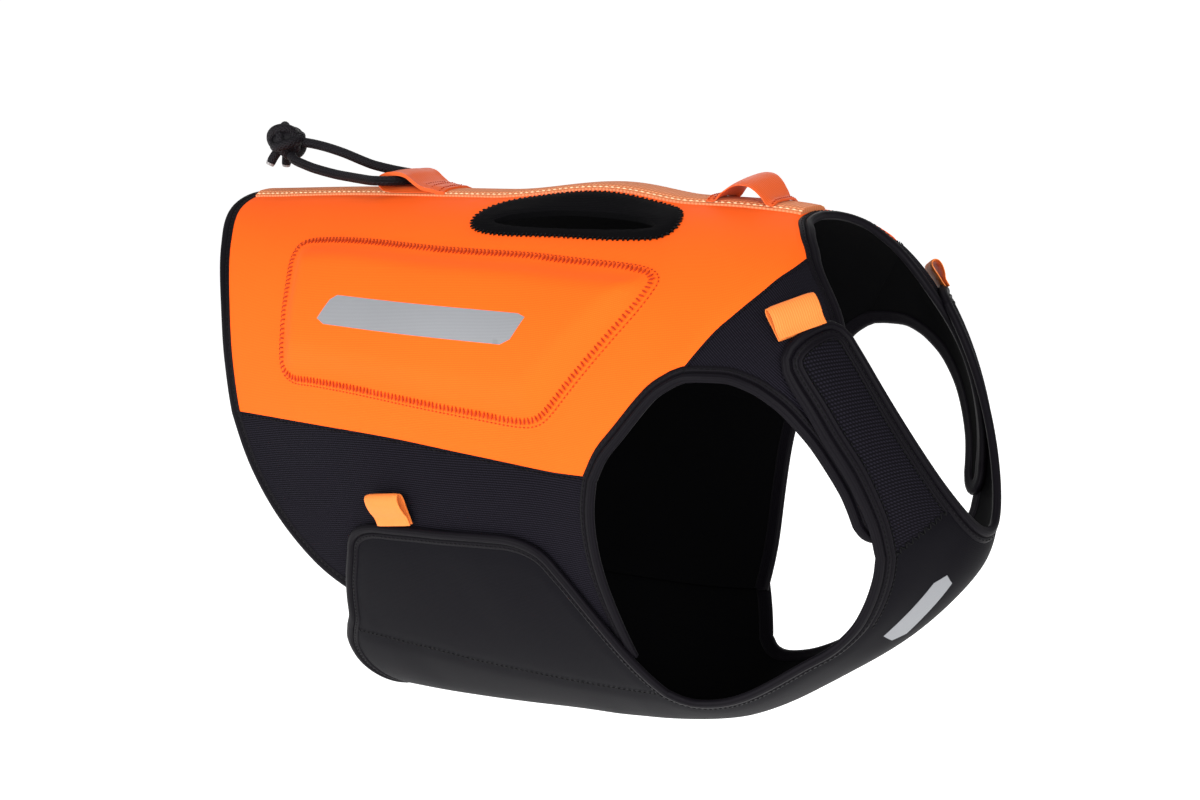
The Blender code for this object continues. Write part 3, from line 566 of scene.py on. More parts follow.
def add_node(tree, kind, values=None, **settings):
    """A node with its settings; a value goes to the input of that name or number, as a number or a link."""
    node = tree.nodes.new(kind)
    for key, value in settings.items():
        setattr(node, key, value)
    for key, value in (values or {}).items():
        if isinstance(value, bpy.types.NodeSocket):
            tree.links.new(value, node.inputs[key])
        else:
            node.inputs[key].default_value = value
    return node


def stripes(tree, coordinate, pitch):
    """A wave from 0 to 1 once in each pitch of millimetres along a coordinate in metres."""
    turns = add_node(tree, "ShaderNodeMath", {0: coordinate, 1: math.tau / (pitch * MM)},
                     operation="MULTIPLY")
    wave = add_node(tree, "ShaderNodeMath", {0: turns.outputs[0]}, operation="SINE")
    return add_node(tree, "ShaderNodeMath", {0: wave.outputs[0], 1: 0.5, 2: 0.5},
                    operation="MULTIPLY_ADD").outputs[0]


def cloth_axes(tree, turn=0.0):
    """Distances along and across the piece in metres, from its own map, turned by some degrees."""
    places = add_node(tree, "ShaderNodeUVMap", uv_map="cloth")
    turned = add_node(tree, "ShaderNodeVectorRotate",
                      {"Vector": places.outputs[0], "Angle": math.radians(turn)}, rotation_type="Z_AXIS")
    parts = add_node(tree, "ShaderNodeSeparateXYZ", {0: turned.outputs[0]})
    return parts.outputs[0], parts.outputs[1]


def knit(along_pitch, across_pitch, turn=0.0, balance=0.5):
    """Height pattern of crossed rows; balance is the share of the rows that run along."""
    def height(tree):
        u, v = cloth_axes(tree, turn)
        rows, courses = stripes(tree, v, across_pitch), stripes(tree, u, along_pitch)
        part = add_node(tree, "ShaderNodeMath", {0: courses, 1: 1 - balance, 2: balance},
                        operation="MULTIPLY_ADD")
        crossed = add_node(tree, "ShaderNodeMath", {0: rows, 1: part.outputs[0]}, operation="MULTIPLY")
        return crossed.outputs[0]
    return height


def braid(pitch):
    """Height pattern of strands that cross on the slant."""
    def height(tree):
        u, v = cloth_axes(tree)
        strands = []
        for way in ("ADD", "SUBTRACT"):
            slant = add_node(tree, "ShaderNodeMath", {0: u, 1: v}, operation=way)
            strands.append(stripes(tree, slant.outputs[0], pitch))
        top = add_node(tree, "ShaderNodeMath", {0: strands[0], 1: strands[1]}, operation="MAXIMUM")
        return top.outputs[0]
    return height


def cloth_material(name, deep, lit, pattern, raised, roughness, sheen=0.0, spread=0.10, specular=0.35):
    """A woven, knitted or braided surface.

    deep and lit are the colours in its hollows and on its threads, raised is the height of the
    pattern in millimetres, and spread is how far the colour drifts over a few centimetres.
    """
    found = bpy.data.materials.get(name)
    if found:
        return found
    material = bpy.data.materials.new(name)
    material.use_nodes = True
    tree = material.node_tree
    shader = tree.nodes["Principled BSDF"]
    height = pattern(tree)
    place = add_node(tree, "ShaderNodeTexCoord")
    drift = add_node(tree, "ShaderNodeTexNoise",
                     {"Vector": place.outputs["Object"], "Scale": COLOUR_DRIFT, "Detail": 2.0})
    fibre = add_node(tree, "ShaderNodeTexNoise",
                     {"Vector": place.outputs["Object"], "Scale": FLUFF, "Detail": 1.0})
    base = add_node(tree, "ShaderNodeMix", {"Factor": height, 6: (*deep, 1.0), 7: (*lit, 1.0)},
                    data_type="RGBA")
    tone = add_node(tree, "ShaderNodeMapRange",
                    {"Value": drift.outputs["Fac"], "From Min": 0.3, "From Max": 0.7,
                     "To Min": 1 - spread, "To Max": 1 + spread})
    final = add_node(tree, "ShaderNodeVectorMath", {0: base.outputs[2], "Scale": tone.outputs[0]},
                     operation="SCALE")
    grain = add_node(tree, "ShaderNodeMath", {0: fibre.outputs["Fac"], 1: 0.35, 2: height},
                     operation="MULTIPLY_ADD")
    bump = add_node(tree, "ShaderNodeBump",
                    {"Height": grain.outputs[0], "Distance": raised * MM, "Strength": 1.0})
    tree.links.new(final.outputs[0], shader.inputs["Base Color"])
    tree.links.new(bump.outputs[0], shader.inputs["Normal"])
    shader.inputs["Roughness"].default_value = roughness
    shader.inputs["Specular IOR Level"].default_value = specular
    shader.inputs["Sheen Weight"].default_value = sheen
    shader.inputs["Sheen Roughness"].default_value = 0.45
    return material


# The pitches of the knits, weaves and braid below are millimetres. The finest are drawn up to twice as
# coarse as the real ones, about 0.5 to 1 mm, which would be too small to show.
def orange_neoprene():
    """Fluorescent polyester jersey glued to neoprene: smooth, with a faint knit and a soft glow."""
    c = colours()
    return cloth_material("orange jersey-faced neoprene", c.orange_deep, c.orange, knit(1.0, 0.9),
                          0.03, 0.68, sheen=0.01, spread=0.03, specular=0.06)


def black_neoprene():
    """Black jersey-faced neoprene: a close smooth knit that takes a broad soft light."""
    c = colours()
    return cloth_material("black jersey-faced neoprene", c.black, c.black_lit, knit(1.0, 0.9),
                          0.035, 0.58, sheen=0.004, spread=0.08, specular=0.035)


def lining():
    """Black jersey lining on the wearer's side, its colour darker than the black cloth as painted shade,
    because little light gets in.
    """
    c = colours()
    return cloth_material("black jersey lining", c.lining, c.lining, knit(1.0, 0.9), 0.02, 0.75,
                          spread=0.05, specular=0.03)


def flank_loop_cloth():
    """Unbroken loop knit for touch tape: fine ribs along the body, broken into small loops."""
    c = colours()
    return cloth_material("ribbed loop knit", c.black, c.loop_lit, knit(1.7, 1.25, balance=0.55),
                          0.28, 0.85, sheen=0.004, specular=0.03)


def tongue_loop_cloth():
    """The same loop knit cut so that its ribs follow the shoulder seam."""
    c = colours()
    return cloth_material("ribbed loop knit on the bias", c.black, c.loop_lit,
                          knit(1.9, 1.25, turn=47.0, balance=0.7), 0.3, 0.85, sheen=0.004, specular=0.03)


def strap_loop_cloth():
    """Loop knit of the straps: a square net of small raised loops, 1.7 mm apart."""
    c = colours()
    return cloth_material("square loop knit", c.black, c.loop_lit,
                          knit(1.7, 1.7, turn=-30.0, balance=0.1), 0.13, 0.80, sheen=0.004, specular=0.03)


def edge_tape():
    """Black stretch tape folded over the cut edges: a tight twill with a dull shine on its roll."""
    c = colours()
    return cloth_material("black stretch tape", c.black, c.tape_lit, knit(0.9, 1.1), 0.04, 0.48,
                          sheen=0.005, spread=0.06, specular=0.055)


def spine_tape():
    """Pale orange polyester webbing: a plain weave with darker hollows."""
    c = colours()
    return cloth_material("pale orange webbing", c.webbing_deep, c.webbing, knit(2.2, 1.9, balance=0.25),
                          0.28, 0.75, sheen=0.02, spread=0.05, specular=0.12)


def loop_tape():
    """The stronger orange webbing of the loops: fine ribs across a satin face."""
    c = colours()
    return cloth_material("orange satin webbing", c.loop_deep, c.loop, knit(0.8, 1.3, balance=0.35),
                          0.08, 0.50, sheen=0.02, spread=0.05, specular=0.2)


def tab_tape():
    """Light orange webbing of the pull tabs: a fine twill that shines a little on the fold."""
    c = colours()
    return cloth_material("light orange twill webbing", c.tab_deep, c.tab,
                          knit(0.75, 1.2, balance=0.45), 0.07, 0.55, sheen=0.01, spread=0.05,
                          specular=0.12)


def sewn_knit():
    """Matt black rib knit round the handle openings."""
    c = colours()
    return cloth_material("matt black rib knit", c.lining, c.black, knit(1.4, 1.4), 0.12, 0.85, spread=0.05,
                          specular=0.04)


def thread(name, tint):
    """Polyester sewing thread: plain, a little shiny, each strand lighter where it bulges."""
    found = bpy.data.materials.get(name)
    if found:
        return found
    material = bpy.data.materials.new(name)
    material.use_nodes = True
    tree = material.node_tree
    shader = tree.nodes["Principled BSDF"]
    place = add_node(tree, "ShaderNodeTexCoord")
    twist = add_node(tree, "ShaderNodeTexNoise",
                     {"Vector": place.outputs["Object"], "Scale": THREAD_TWIST})
    tone = add_node(tree, "ShaderNodeMapRange",
                    {"Value": twist.outputs["Fac"], "To Min": 0.7, "To Max": 1.25})
    final = add_node(tree, "ShaderNodeVectorMath", {0: tuple(tint), "Scale": tone.outputs[0]},
                     operation="SCALE")
    tree.links.new(final.outputs[0], shader.inputs["Base Color"])
    shader.inputs["Roughness"].default_value = 0.55
    shader.inputs["Specular IOR Level"].default_value = 0.1
    return material


def reflective_print():
    """Silver-grey heat-sealed print with tiny glass beads: flat grey in even light."""
    c = colours()
    return cloth_material("silver reflective print", c.silver_deep, c.silver, knit(0.7, 0.7), 0.006, 0.45,
                          spread=0.06, specular=0.3)


def braided_cord():
    """Black braided cord, its strands crossing on the slant."""
    c = colours()
    return cloth_material("black braided cord", c.black_thread, c.tape_lit, braid(2.2), 0.35, 0.55,
                          sheen=0.008, specular=0.14)


def cut_end():
    """Cord end sealed with heat: hard, pale grey and a little glossy."""
    c = colours()
    return cloth_material("melted cord end", c.silver_deep, c.sealed, knit(1.3, 1.1), 0.1, 0.35,
                          spread=0.15)


def add_mesh(name, points, faces, materials, looks=None, uv=None, sharp=50.0):
    """One object from points in millimetres.

    looks gives each face's material, and uv gives each point's place in the map.
    """
    mesh = bpy.data.meshes.new(name)
    mesh.from_pydata((np.asarray(points) * MM).tolist(), [], [tuple(map(int, f)) for f in faces])
    for material in materials:
        mesh.materials.append(material)
    if looks is not None:
        mesh.polygons.foreach_set("material_index", np.asarray(looks, np.int32))
    if uv is not None:
        layer = mesh.uv_layers.new(name="cloth")
        corners = np.empty(len(mesh.loops), np.int32)
        mesh.loops.foreach_get("vertex_index", corners)
        layer.data.foreach_set("uv", np.asarray(uv, np.float32)[corners].ravel())
    mesh.shade_smooth()
    mesh.set_sharp_from_angle(angle=math.radians(sharp))
    obj = bpy.data.objects.new(name, mesh)
    bpy.context.collection.objects.link(obj)
    return obj


def dress(obj, slot, *nodes):
    """The piece rides on the body and stands for these solids, which are hidden; slot is not used."""
    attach(obj, BODY)
    if nodes:
        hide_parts(*nodes)


def filled(boundary, step):
    """Triangles inside the first of some closed outlines and outside the others, in the layout.

    Returns their points, the triangles, and for each point the outline points that it comes from.
    """
    links = []
    start = 0
    for loop in boundary:
        links += [(start + k, start + (k + 1) % len(loop)) for k in range(len(loop))]
        start += len(loop)

    def in_cloth(points):
        keep = inside(boundary[0], points)
        for hole in boundary[1:]:
            keep &= ~inside(hole, points)
        return keep

    lowest, highest = boundary[0].min(axis=0), boundary[0].max(axis=0)
    columns = np.arange(lowest[0], highest[0], step)
    rows = np.arange(lowest[1], highest[1], step * math.sqrt(0.75))
    grid = np.vstack([np.stack([columns + step / 2 * (k % 2), np.full(len(columns), v)], -1)
                      for k, v in enumerate(rows)])
    grid = grid[in_cloth(grid)]
    grid = grid[np.min([edge_distances(loop, grid) for loop in boundary], axis=0) > 0.6 * step]
    layout = np.vstack([*boundary, grid])
    out = delaunay_2d_cdt([Vector(p) for p in layout.tolist()], links, [], 0, 1e-5)
    points = np.array([tuple(p) for p in out[0]])
    faces = np.array([list(f) for f in out[2]])
    return points, faces[in_cloth(points[faces].mean(axis=1))], out[3]


def cloth_panel(name, outline, low, high, outer, inner, holes=(), step=None, dip=None):
    """A panel of cloth inside a closed outline.

    low and high are heights, or functions of the places and of their distances to each outline. The
    cloth is pressed down by dip where it is sewn. Returns the object, its map and the outer faces.
    """
    step = sizes().mesh_step / MM if step is None else step
    dip = sizes().seam_dip / MM if dip is None else dip
    loops = [outline, *holes]
    boundary = [flat(loop) for loop in loops]
    points, faces, sources = filled(boundary, step)
    places = unflat(points)
    gaps = [edge_distances(loop, points) for loop in boundary]
    pressed = dip * (1 - smooth(np.min(gaps, axis=0) / (sizes().dip_reach / MM)))
    top = (high(places, gaps) if callable(high) else high) - pressed
    bottom = (low(places, gaps) if callable(low) else low) + pressed * LINING_DIP
    outer_points = cloth_point(places[:, 0], places[:, 1], top)
    inner_points = cloth_point(places[:, 0], places[:, 1], bottom)
    shift = []
    for loop, laid in zip(loops, boundary):
        area = np.cross(laid, np.roll(laid, -1, axis=0)).sum()
        inward = (1 if area > 0 else -1) * (1 if loop is outline else -1)
        shift.append(edge_shift(loop, True) * inward * SEAM_GAP / 2)
    shift = np.vstack(shift)
    moved = np.zeros((len(points), 3))
    for k, source in enumerate(sources):
        if source and source[0] < len(shift):
            moved[k] = shift[source[0]]
    count = len(points)
    edges = dict.fromkeys((a, b) for f in faces.tolist() for a, b in zip(f, f[1:] + f[:1]))
    walls = [(a, a + count, b + count, b) for a, b in edges if (b, a) not in edges]
    body = np.vstack([outer_points + moved, inner_points + moved])
    solid = [*faces.tolist(), *(faces[:, ::-1] + count).tolist(), *walls]
    looks = [0] * len(faces) + [1] * (len(faces) + len(walls))
    uv = np.vstack([cloth_uv(places)] * 2)
    middle = body[faces[len(faces) // 2]]
    facing = np.cross(middle[1] - middle[0], middle[2] - middle[0])
    at = places[faces[len(faces) // 2]].mean(axis=0)
    if facing @ outward(at[0], at[1]) < 0:
        solid = [tuple(reversed(f)) for f in solid]
    obj = add_mesh(name, body, solid, [outer, inner], looks, uv)
    return obj, uv, faces


def both_sides(make):
    """Call make once for each side, with the side's name and its mirror function."""
    make("left", lambda path: np.asarray(path, float))
    make("right", mirrored)


def cut_edges():
    """Every cut edge of the vest as a path, for the dog's left side."""
    step = sizes().mesh_step / MM
    paths = {name: run(rows, step) for name, rows in {
        "spine": SPINE_LINE, "back_neck": BACK_NECK, "tongue_seam": TONGUE_SEAM,
        "back_leg": BACK_LEG, "flank_seam": FLANK_SEAM, "back_hem": BACK_HEM,
        "flank_front": FLANK_FRONT, "flank_low": FLANK_LOW, "flank_hem": FLANK_HEM,
        "tongue_leg": TONGUE_LEG, "tongue_neck": TONGUE_NECK, "flap_top": FLAP_TOP,
        "belly_seam": BELLY_SEAM, "belly_rear": BELLY_REAR, "belly_leg": BELLY_LEG,
        "strap_seam": STRAP_SEAM, "strap_top": STRAP_TOP, "strap_neck": STRAP_NECK,
        "chest_neck": CHEST_NECK}.items()}
    paths["tongue_tip"] = run(TONGUE_TIP, 1.2)
    return paths


def pad_height(places, gaps):
    """Height of the foam pad's face over the saddle: thin sewn rim, flat margin, then the dome."""
    full = sizes().pad_height / MM - PAD_CROWN - PAD_FLAT
    return (PAD_EDGE + (PAD_FLAT - PAD_EDGE) * smooth(gaps[0] / PAD_STEP)
            + full * smooth((gaps[0] - PAD_MARGIN) / (PAD_RAMP - PAD_MARGIN))
            + PAD_CROWN * smooth(gaps[0] / (PAD_CROWN_RAMPS * PAD_RAMP)))


def tube(name, sections, materials, closed=False, uv=None, sharp=60.0):
    """A solid through sections that all have the same number of points."""
    points = np.vstack(sections)
    count, size = len(sections), len(sections[0])
    faces = []
    for k in range(count if closed else count - 1):
        nxt = (k + 1) % count
        for j in range(size):
            j2 = (j + 1) % size
            faces.append((k * size + j, k * size + j2, nxt * size + j2, nxt * size + j))
    if not closed:
        faces.append(tuple(range(size - 1, -1, -1)))
        faces.append(tuple((count - 1) * size + j for j in range(size)))
    middle = count // 2
    here, there = np.asarray(sections[middle]), np.asarray(sections[(middle + 1) % count])
    spokes = here - here.mean(axis=0)
    along = there.mean(axis=0) - here.mean(axis=0)
    winding = np.cross(spokes, np.roll(spokes, -1, axis=0)).sum(axis=0)
    if winding @ along < 0:
        faces = [tuple(reversed(f)) for f in faces]
    return add_mesh(name, points, faces, materials, uv=uv, sharp=sharp)


def folded_strip(path, away, profile, base):
    """Sections of a strip beside a path, from distances and heights over the cloth's underside."""
    columns = []
    for w, h in profile:
        place = beside(path, away * w)
        columns.append(cloth_point(place[:, 0], place[:, 1], np.full(len(place), base + h)))
    return np.stack(columns, 1)


def strip_map(path, profile):
    """Map places of a strip's sections: distance along and across it, in metres."""
    reach = reach_along(form(path[:, 0], path[:, 1]))
    across = np.array([w for w, _ in profile])
    return np.stack(np.broadcast_arrays(reach[:, None], across[None, :]), -1) * MM


def edge_tapes(pieces, base, side, closed=False):
    """Folded tape along a free edge, one object for each (name, path); the paths meet end to end."""
    path = chain(*[piece for _, piece in pieces])
    path = path[:-1] if closed else path
    profile = [(w, CLOTH + h) for w, h in TAPE_TOP] + TAPE_UNDER
    made = folded_strip(path, edge_shift(path, closed) * side, profile, base)
    first = 0
    for name, piece in pieces:
        index = np.arange(first, first + len(piece)) % len(path)
        obj = tube(name + "_tape", list(made[index]), [edge_tape()],
                   uv=strip_map(piece, profile).reshape(-1, 2), sharp=70.0)
        dress(obj, "black_binding", name)
        first += len(piece) - 1


def strap_facing(name, path, side):
    """Low ridge of facing inside the edge tape of a strap, between two rows of stitches."""
    profile = [(w, CLOTH + h) for w, h in FACING]
    made = folded_strip(path, edge_shift(path, False) * side, profile, LAY_GAP)
    obj = tube(name, list(made), [edge_tape()], uv=strip_map(path, profile).reshape(-1, 2), sharp=70.0)
    dress(obj, "black_binding")


def tape_bed(station, across, height):
    """Points across the spine tape at one station."""
    a = spine_edge(np.full(len(across), station), across)
    return cloth_point(np.full(len(across), station), a, np.broadcast_to(height, across.shape))


def webbing_top(across):
    """Height of the spine webbing's face, which its two rows of stitches press down."""
    pressed = sum(depth * smooth((abs(across) - start) / reach)
                  for depth, start, reach in SPINE_TAPE_PRESSED)
    return LAY_GAP + WEBBING - pressed


def selvedge(across, thick):
    """How far each face of a tape draws in, from its middle out to its selvedges."""
    return (abs(across) / across[-1]) ** SELVEDGE_POWER * thick * SELVEDGE_SHARE


def tape_section(low_station, low, high_station, high, across):
    """Section of webbing with soft selvedges: the under side, then the upper side back."""
    edge = selvedge(across, LOOP_TAPE)
    under = tape_bed(low_station, across, low + edge)
    upper = tape_bed(high_station, across, high - edge)
    return np.vstack([under, upper[::-1]])


def section_map(reach, across):
    """Map places of webbing sections: distance along and across, in metres."""
    both = np.concatenate([across, across[::-1]])
    return np.stack(np.broadcast_arrays(np.asarray(reach)[:, None], both[None, :]), -1).reshape(-1, 2) * MM


def stitch_tree():
    """Geometry Nodes that lay one short thread at every pitch along the lines of a mesh."""
    found = bpy.data.node_groups.get("Row of stitches")
    if found:
        return found
    tree = bpy.data.node_groups.new("Row of stitches", "GeometryNodeTree")
    face = tree.interface
    face.new_socket("Lines", in_out="INPUT", socket_type="NodeSocketGeometry")
    for name in ("Pitch", "Length", "Thread", "Turn", "Swing"):
        face.new_socket(name, in_out="INPUT", socket_type="NodeSocketFloat")
    face.new_socket("Finish", in_out="INPUT", socket_type="NodeSocketMaterial")
    face.new_socket("Stitches", in_out="OUTPUT", socket_type="NodeSocketGeometry")
    given = tree.nodes.new("NodeGroupInput").outputs
    line = add_node(tree, "GeometryNodeMeshToCurve", {"Mesh": given["Lines"]})
    spaced = add_node(tree, "GeometryNodeResampleCurve",
                      {"Curve": line.outputs[0], "Length": given["Pitch"]}, mode="LENGTH")
    up = add_node(tree, "GeometryNodeInputNamedAttribute", {"Name": "up"}, data_type="FLOAT_VECTOR")
    tangent = add_node(tree, "GeometryNodeInputTangent")
    upright = add_node(tree, "FunctionNodeAxesToRotation",
                       {"Primary Axis": up.outputs[0], "Secondary Axis": tangent.outputs[0]},
                       primary_axis="Z", secondary_axis="X")
    index = add_node(tree, "GeometryNodeInputIndex")
    odd = add_node(tree, "ShaderNodeMath", {0: index.outputs[0], 1: 2.0}, operation="MODULO")
    sign = add_node(tree, "ShaderNodeMath", {0: odd.outputs[0], 1: 2.0, 2: -1.0}, operation="MULTIPLY_ADD")
    swing = add_node(tree, "ShaderNodeMath", {0: sign.outputs[0], 1: given["Swing"], 2: given["Turn"]},
                     operation="MULTIPLY_ADD")
    euler = add_node(tree, "ShaderNodeCombineXYZ", {2: swing.outputs[0]})
    turn = add_node(tree, "FunctionNodeEulerToRotation", {0: euler.outputs[0]})
    pose = add_node(tree, "FunctionNodeRotateRotation",
                    {"Rotation": upright.outputs[0], "Rotate By": turn.outputs[0]}, rotation_space="LOCAL")
    bead = add_node(tree, "GeometryNodeMeshUVSphere", {"Segments": 6, "Rings": 4, "Radius": 0.5})
    size = add_node(tree, "ShaderNodeCombineXYZ",
                    {0: given["Length"], 1: given["Thread"], 2: given["Thread"]})
    laid = add_node(tree, "GeometryNodeInstanceOnPoints",
                    {"Points": spaced.outputs[0], "Instance": bead.outputs[0], "Rotation": pose.outputs[0],
                     "Scale": size.outputs[0]})
    real = add_node(tree, "GeometryNodeRealizeInstances", {0: laid.outputs[0]})
    done = add_node(tree, "GeometryNodeSetMaterial",
                    {"Geometry": real.outputs[0], "Material": given["Finish"]})
    output = tree.nodes.new("NodeGroupOutput")
    tree.links.new(done.outputs[0], output.inputs[0])
    return tree


def stitches(name, rows, finish, slot, pitch, length, thick, turn=0.0, swing=0.0):
    """Stitches along rows, each a path of points, its outward vectors, and whether it is closed.

    Every second stitch turns by the swing to one side, and the others to the other side.
    """
    points, ups, edges = [], [], []
    for path, up, closed in rows:
        start = len(points)
        points += (np.asarray(path) * MM).tolist()
        ups += np.asarray(up).tolist()
        edges += [(start + k, start + k + 1) for k in range(len(path) - 1)]
        if closed:
            edges.append((start + len(path) - 1, start))
    mesh = bpy.data.meshes.new(name + "_lines")
    mesh.from_pydata(points, edges, [])
    mesh.attributes.new("up", "FLOAT_VECTOR", "POINT").data.foreach_set("vector", np.ravel(ups))
    lines = bpy.data.objects.new(name + "_lines", mesh)
    bpy.context.collection.objects.link(lines)
    modifier = lines.modifiers.new("stitches", "NODES")
    modifier.node_group = stitch_tree()
    given = {"Pitch": pitch * MM, "Length": length * MM, "Thread": thick * MM,
             "Turn": math.radians(turn), "Swing": math.radians(swing), "Finish": finish}
    for item in modifier.node_group.interface.items_tree:
        if item.in_out == "INPUT" and item.name in given:
            modifier[item.identifier] = given[item.name]
    depsgraph = bpy.context.evaluated_depsgraph_get()
    sewn = bpy.data.meshes.new_from_object(lines.evaluated_get(depsgraph))
    bpy.data.objects.remove(lines, do_unlink=True)
    if not len(sewn.polygons):
        raise RuntimeError(name + " came out with no stitches")
    sewn.name = name
    if not sewn.materials:
        sewn.materials.append(finish)
    sewn.shade_smooth()
    obj = bpy.data.objects.new(name, sewn)
    bpy.context.collection.objects.link(obj)
    dress(obj, slot)


def sewn_row(path, side, row, base=0.0, closed=False):
    """A stitch row beside a path in the cloth; row is its distance out from it and its height."""
    out, height = row
    place = beside(path, edge_shift(path, closed) * side * out)
    up = outward(place[:, 0], place[:, 1])
    return cloth_point(place[:, 0], place[:, 1], np.full(len(place), base + height)), up, closed


def strip_row(x, y, height):
    """Stitch row through points (x, y) on the spine webbing, at heights over the saddle."""
    t = station_at(x)
    a = spine_edge(t, y)
    return cloth_point(t, a, height), outward(t, a), False


def strap_ridge(cuts):
    """The line that the facing of a strap follows, from the belly's leg edge to the neck."""
    return chain(cuts["belly_leg"][-FACING_LAP:], cuts["strap_top"], cuts["strap_neck"])


class VestSizes(bpy.types.PropertyGroup):
    """Sizes that a maker of the vest might change."""
    mesh_step: FloatProperty(name="Mesh step", description="Distance between points of the cloth meshes",
                             default=0.0034, min=0.002, max=0.012, unit="LENGTH")
    pad_height: FloatProperty(name="Pad height", description="Height of the foam pads over the back",
                              default=0.0078, min=0.004, max=0.009, unit="LENGTH")
    seam_dip: FloatProperty(name="Seam dip", description="How far sewing presses the cloth down at a seam",
                            default=0.0006, min=0.0, max=0.0012, unit="LENGTH")
    dip_reach: FloatProperty(name="Seam dip reach",
                             description="Distance from the seam over which the cloth dips",
                             default=0.006, min=0.002, max=0.015, unit="LENGTH")
    stitch_pitch: FloatProperty(name="Webbing stitch pitch",
                                description="Distance between stitches on the spine webbing",
                                default=0.0037, min=0.002, max=0.01, unit="LENGTH")
    thread_width: FloatProperty(name="Thread width", description="Width of the spine webbing's thread",
                                default=0.0007, min=0.0003, max=0.002, unit="LENGTH")
    cord_width: FloatProperty(name="Cord width", description="Diameter of the pull cord",
                              default=CORD * MM, min=0.003, max=0.006, unit="LENGTH")


def colour(name, code, description):
    """A colour property whose default is an sRGB hex code."""
    return FloatVectorProperty(name=name, description=description, default=linear(code), size=3,
                               subtype="COLOR", min=0.0, max=1.0)


class VestColours(bpy.types.PropertyGroup):
    """Colours of the cloths, tapes and threads."""
    orange: colour("Orange cloth", "#FB6217", "Jersey face of the back and the pads")
    orange_deep: colour("Orange cloth, deep", "#EF5714", "Hollows of the orange jersey")
    webbing: colour("Webbing", "#F0A074", "Threads of the spine webbing")
    webbing_deep: colour("Webbing, deep", "#BE6A3E", "Hollows of the spine webbing")
    loop: colour("Loops", "#E06226", "Threads of the two loops")
    loop_deep: colour("Loops, deep", "#C74B18", "Hollows of the two loops")
    tab: colour("Pull tabs", "#EA8642", "Threads of the pull tabs")
    tab_deep: colour("Pull tabs, deep", "#DC7230", "Hollows of the pull tabs")
    black: colour("Black cloth", "#08070A", "Hollows of the black cloths")
    black_lit: colour("Black cloth, lit", "#0D0C12", "Face of the black jersey")
    # Lining: black cloth with painted shade, darker than the black cloth because little light gets in on
    # the wearer's side; the panels' inner faces and cut edges and the handle trim's hollows take it
    lining: colour("Lining", "#050506", "Black lining on the wearer's side")
    loop_lit: colour("Loop knit, lit", "#1E1C24", "Loops of the black knits")
    tape_lit: colour("Edge tape, lit", "#100D13", "Threads of the black edge tape and the cord")
    pale_thread: colour("Pale thread", "#F0D0A8", "Stitches along the webbing")
    red_thread: colour("Red thread", "#A5320E", "Stitches round the pads")
    black_thread: colour("Black thread", "#030304", "Stitches in the black cloths")
    silver: colour("Print", "#85868A", "Reflective print")
    silver_deep: colour("Print, deep", "#75777A", "Hollows of the reflective print")
    sealed: colour("Sealed cord end", "#A9A4A0", "Melted ends of the cord")
    floor: colour("Floor", "#FFFFFF", "Studio floor and backdrop")


class VEST_OT_stage(bpy.types.Operator):
    """Camera of the photograph, soft studio lights and a pale seamless floor"""
    bl_idname = "vest.stage"
    bl_label = "Camera, lights and floor"

    def execute(self, context):
        turn, dip = math.radians(CAMERA_TURN), math.radians(CAMERA_DIP)
        right = Vector((math.cos(turn), math.sin(turn), 0))
        up = Vector((-math.sin(turn) * math.sin(dip), math.cos(turn) * math.sin(dip), math.cos(dip)))
        back = right.cross(up)
        data = bpy.data.cameras.new("photo_camera")
        data.lens, data.sensor_width = CAMERA_LENS, 36.0
        camera = bpy.data.objects.new("photo_camera", data)
        turned = Matrix((right, up, back)).transposed().to_4x4()
        camera.matrix_world = Matrix.Translation(CAMERA_PLACE) @ turned
        bpy.context.collection.objects.link(camera)
        context.scene.camera = camera

        floor_z = CAD_BOX[0][2] - FLOOR_DROP
        corners = [(x * FLOOR_REACH, y * FLOOR_REACH, floor_z)
                   for x, y in ((-1, -1), (1, -1), (1, 1), (-1, 1))]
        mesh = bpy.data.meshes.new("studio_floor")
        mesh.from_pydata(corners, [], [(0, 1, 2, 3)])
        material = bpy.data.materials.new("matt white studio floor, lit from below")
        material.use_nodes = True
        tree = material.node_tree
        shader = tree.nodes["Principled BSDF"]
        place = add_node(tree, "ShaderNodeTexCoord")
        cloud = add_node(tree, "ShaderNodeTexNoise", {"Vector": place.outputs["Object"], "Scale": 1.5})
        tone = add_node(tree, "ShaderNodeMapRange",
                        {"Value": cloud.outputs["Fac"], "To Min": 0.985, "To Max": 1.0})
        final = add_node(tree, "ShaderNodeVectorMath",
                         {0: tuple(colours().floor), "Scale": tone.outputs[0]}, operation="SCALE")
        tree.links.new(final.outputs[0], shader.inputs["Base Color"])
        shader.inputs["Emission Color"].default_value = (1.0, 1.0, 1.0, 1.0)
        shader.inputs["Emission Strength"].default_value = FLOOR_GLOW
        shader.inputs["Roughness"].default_value = 0.9
        shader.inputs["Specular IOR Level"].default_value = 0.1
        mesh.materials.append(material)
        floor = bpy.data.objects.new("studio_floor", mesh)
        bpy.context.collection.objects.link(floor)

        for name, spot, size, watts in LIGHTS:
            lamp = bpy.data.lights.new(name, "AREA")
            lamp.shape, lamp.size, lamp.energy = "DISK", size, watts
            obj = bpy.data.objects.new(name, lamp)
            obj.location = spot
            obj.rotation_euler = (Vector(LIGHTS_AIM) - Vector(spot)).to_track_quat("-Z", "Y").to_euler()
            bpy.context.collection.objects.link(obj)

        world = bpy.data.worlds.new("white studio")
        world.use_nodes = True
        sky = world.node_tree.nodes["Background"]
        sky.inputs["Color"].default_value = (1.0, 1.0, 1.0, 1.0)
        sky.inputs["Strength"].default_value = SKY_GLOW
        context.scene.world = world
        context.scene.view_settings.view_transform = "Standard"
        return {"FINISHED"}


